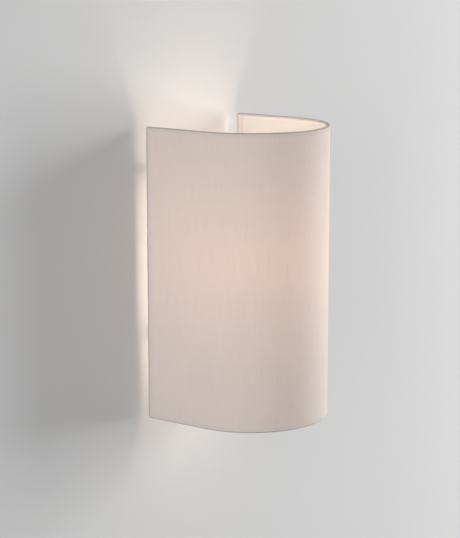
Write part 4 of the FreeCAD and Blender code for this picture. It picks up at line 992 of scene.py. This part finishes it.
def painted_wall(name, colour, one_sided):
    """Matt emulsion with a rolled texture. One-sided paint can't be seen from behind."""
    material, board, shader = new_finish(name, Specular_IOR_Level=0.15)
    varied = board.group("Surface variation", Colour=colour, Patch_colour=dimmed(colour, 0.985),
                         Patch_size=250 * MM, Amount=1.0, Roughness=0.9)
    dress(board, shader, varied["Colour"], varied)
    height = board.group("Fine grain", Grain_size=2.2 * MM)["Height"]
    bump(board, shader, height, 0.12, 0.12 * MM)
    if one_sided:
        nodes = material.node_tree.nodes
        clear = board.add("ShaderNodeBsdfTransparent")
        facing = board.add("ShaderNodeNewGeometry")
        mixed = board.lay("ShaderNodeMixShader", {}, facing.outputs["Backfacing"],
                          nodes["Principled BSDF"].outputs[0], clear.outputs[0])
        board.feed(nodes["Material Output"].inputs["Surface"], mixed[0])
    return material


def stage_sheet(name, corner, across, up, material):
    """A flat part of the stage, from one corner and its two sides."""
    corner, across, up = Vector(corner), Vector(across), Vector(up)
    mesh = bpy.data.meshes.new(name)
    mesh.from_pydata([corner, corner + across, corner + across + up, corner + up], [], [(0, 1, 2, 3)])
    mesh.materials.append(material)
    piece = add_object(name, mesh)
    return piece


def soft_light(name, place, size, power):
    """A square white light aimed at the shade's middle."""
    lamp = add_light(name, "AREA", place, power)
    lamp.data.size = size
    middle = (SHADE_LOW + SHADE_HIGH) / 2
    lamp.rotation_mode = "QUATERNION"
    lamp.rotation_quaternion = (middle - Vector(place)).to_track_quat("-Z", "Y")


def room_world(strength, backdrop):
    """Even room light, and a pale room for what looks or shines past the stage."""
    world = bpy.data.worlds.new("room")
    world.use_nodes = True
    board = Board(world.node_tree)
    shade = world.node_tree.nodes["Background"]
    path = board.add("ShaderNodeLightPath")
    seen = board.math("MAXIMUM", path.outputs["Is Camera Ray"], path.outputs["Is Glossy Ray"])
    seen = board.math("MAXIMUM", seen, path.outputs["Is Transmission Ray"])
    board.feed(shade.inputs["Color"], WHITE)
    board.feed(shade.inputs["Strength"], board.band(seen, 0.0, 1.0, strength, backdrop))
    bpy.context.scene.world = world


class WALLLIGHT_OT_stage(bpy.types.Operator):
    """Set up the wall, the floor, the lights and the camera"""
    bl_idname = "wall_light.stage"
    bl_label = "Stage"

    def execute(self, context):
        settings = context.scene.wall_light_stage
        low = -settings.floor_drop
        span = settings.wall_span
        wall = stage_sheet("room_wall", (-span / 2, WALL_GAP, low), (span, 0, 0), (0, 0, span),
                           painted_wall("Wall paint", settings.wall_colour, True))
        wall.visible_diffuse = False
        wall.visible_shadow = False
        span = settings.floor_span
        stage_sheet("room_floor", (-span / 2, -span / 2, low), (span, 0, 0), (0, span, 0),
                    painted_wall("Floor paint", settings.wall_colour, False))
        soft_light("key_light", KEY_PLACE, KEY_SIZE, settings.key_power)
        soft_light("fill_light", FILL_PLACE, FILL_SIZE, settings.fill_power)
        room_world(settings.world_strength, settings.backdrop_strength)
        context.scene.view_settings.view_transform = "Standard"
        camera = bpy.data.cameras.new("camera")
        camera.lens = settings.lens
        camera.clip_start = 0.02
        holder = add_object("camera", camera)
        holder.location = settings.camera_place
        holder.rotation_euler = (math.pi / 2 - settings.camera_dip, 0.0, -settings.camera_heading)
        context.scene.camera = holder
        return {"FINISHED"}


OPERATORS = (WALLLIGHT_OT_shade_cloth, WALLLIGHT_OT_shade_frame, WALLLIGHT_OT_wall_unit,
             WALLLIGHT_OT_terminals, WALLLIGHT_OT_leads, WALLLIGHT_OT_holder, WALLLIGHT_OT_lamp,
             WALLLIGHT_OT_stage)


class WALLLIGHT_PT_panel(bpy.types.Panel):
    """Lists the wall light's pieces and their settings"""
    bl_idname = "WALLLIGHT_PT_panel"
    bl_label = "Wall Light"
    bl_space_type = "VIEW_3D"
    bl_region_type = "UI"
    bl_category = "Wall Light"

    def draw(self, context):
        for operator in OPERATORS:
            self.layout.operator(operator.bl_idname)
        for name, group in SETTINGS.items():
            column = self.layout.column(align=True)
            column.label(text=name.replace("_", " ").capitalize())
            for prop in group.__annotations__:
                column.prop(getattr(context.scene, name), prop)


def register():
    for group in list(SETTINGS.values()) + list(OPERATORS) + [WALLLIGHT_PT_panel]:
        bpy.utils.register_class(group)
    for name, group in SETTINGS.items():
        setattr(bpy.types.Scene, name, PointerProperty(type=group))


def unregister():
    for name in SETTINGS:
        delattr(bpy.types.Scene, name)
    for group in [WALLLIGHT_PT_panel] + list(OPERATORS) + list(SETTINGS.values()):
        bpy.utils.unregister_class(group)


def main():
    register()
    scene = bpy.context.scene
    make_shared_effects()
    FINISHES.update(make_finishes(scene.shade_cloth, scene.lamp_glow, scene.wall_light_finish))
    bpy.ops.wall_light.shade_cloth()
    bpy.ops.wall_light.shade_frame()
    bpy.ops.wall_light.wall_unit()
    bpy.ops.wall_light.terminals()
    bpy.ops.wall_light.leads()
    bpy.ops.wall_light.holder()
    bpy.ops.wall_light.lamp()
    bpy.ops.wall_light.stage()


if __name__ == "__main__":
    main()
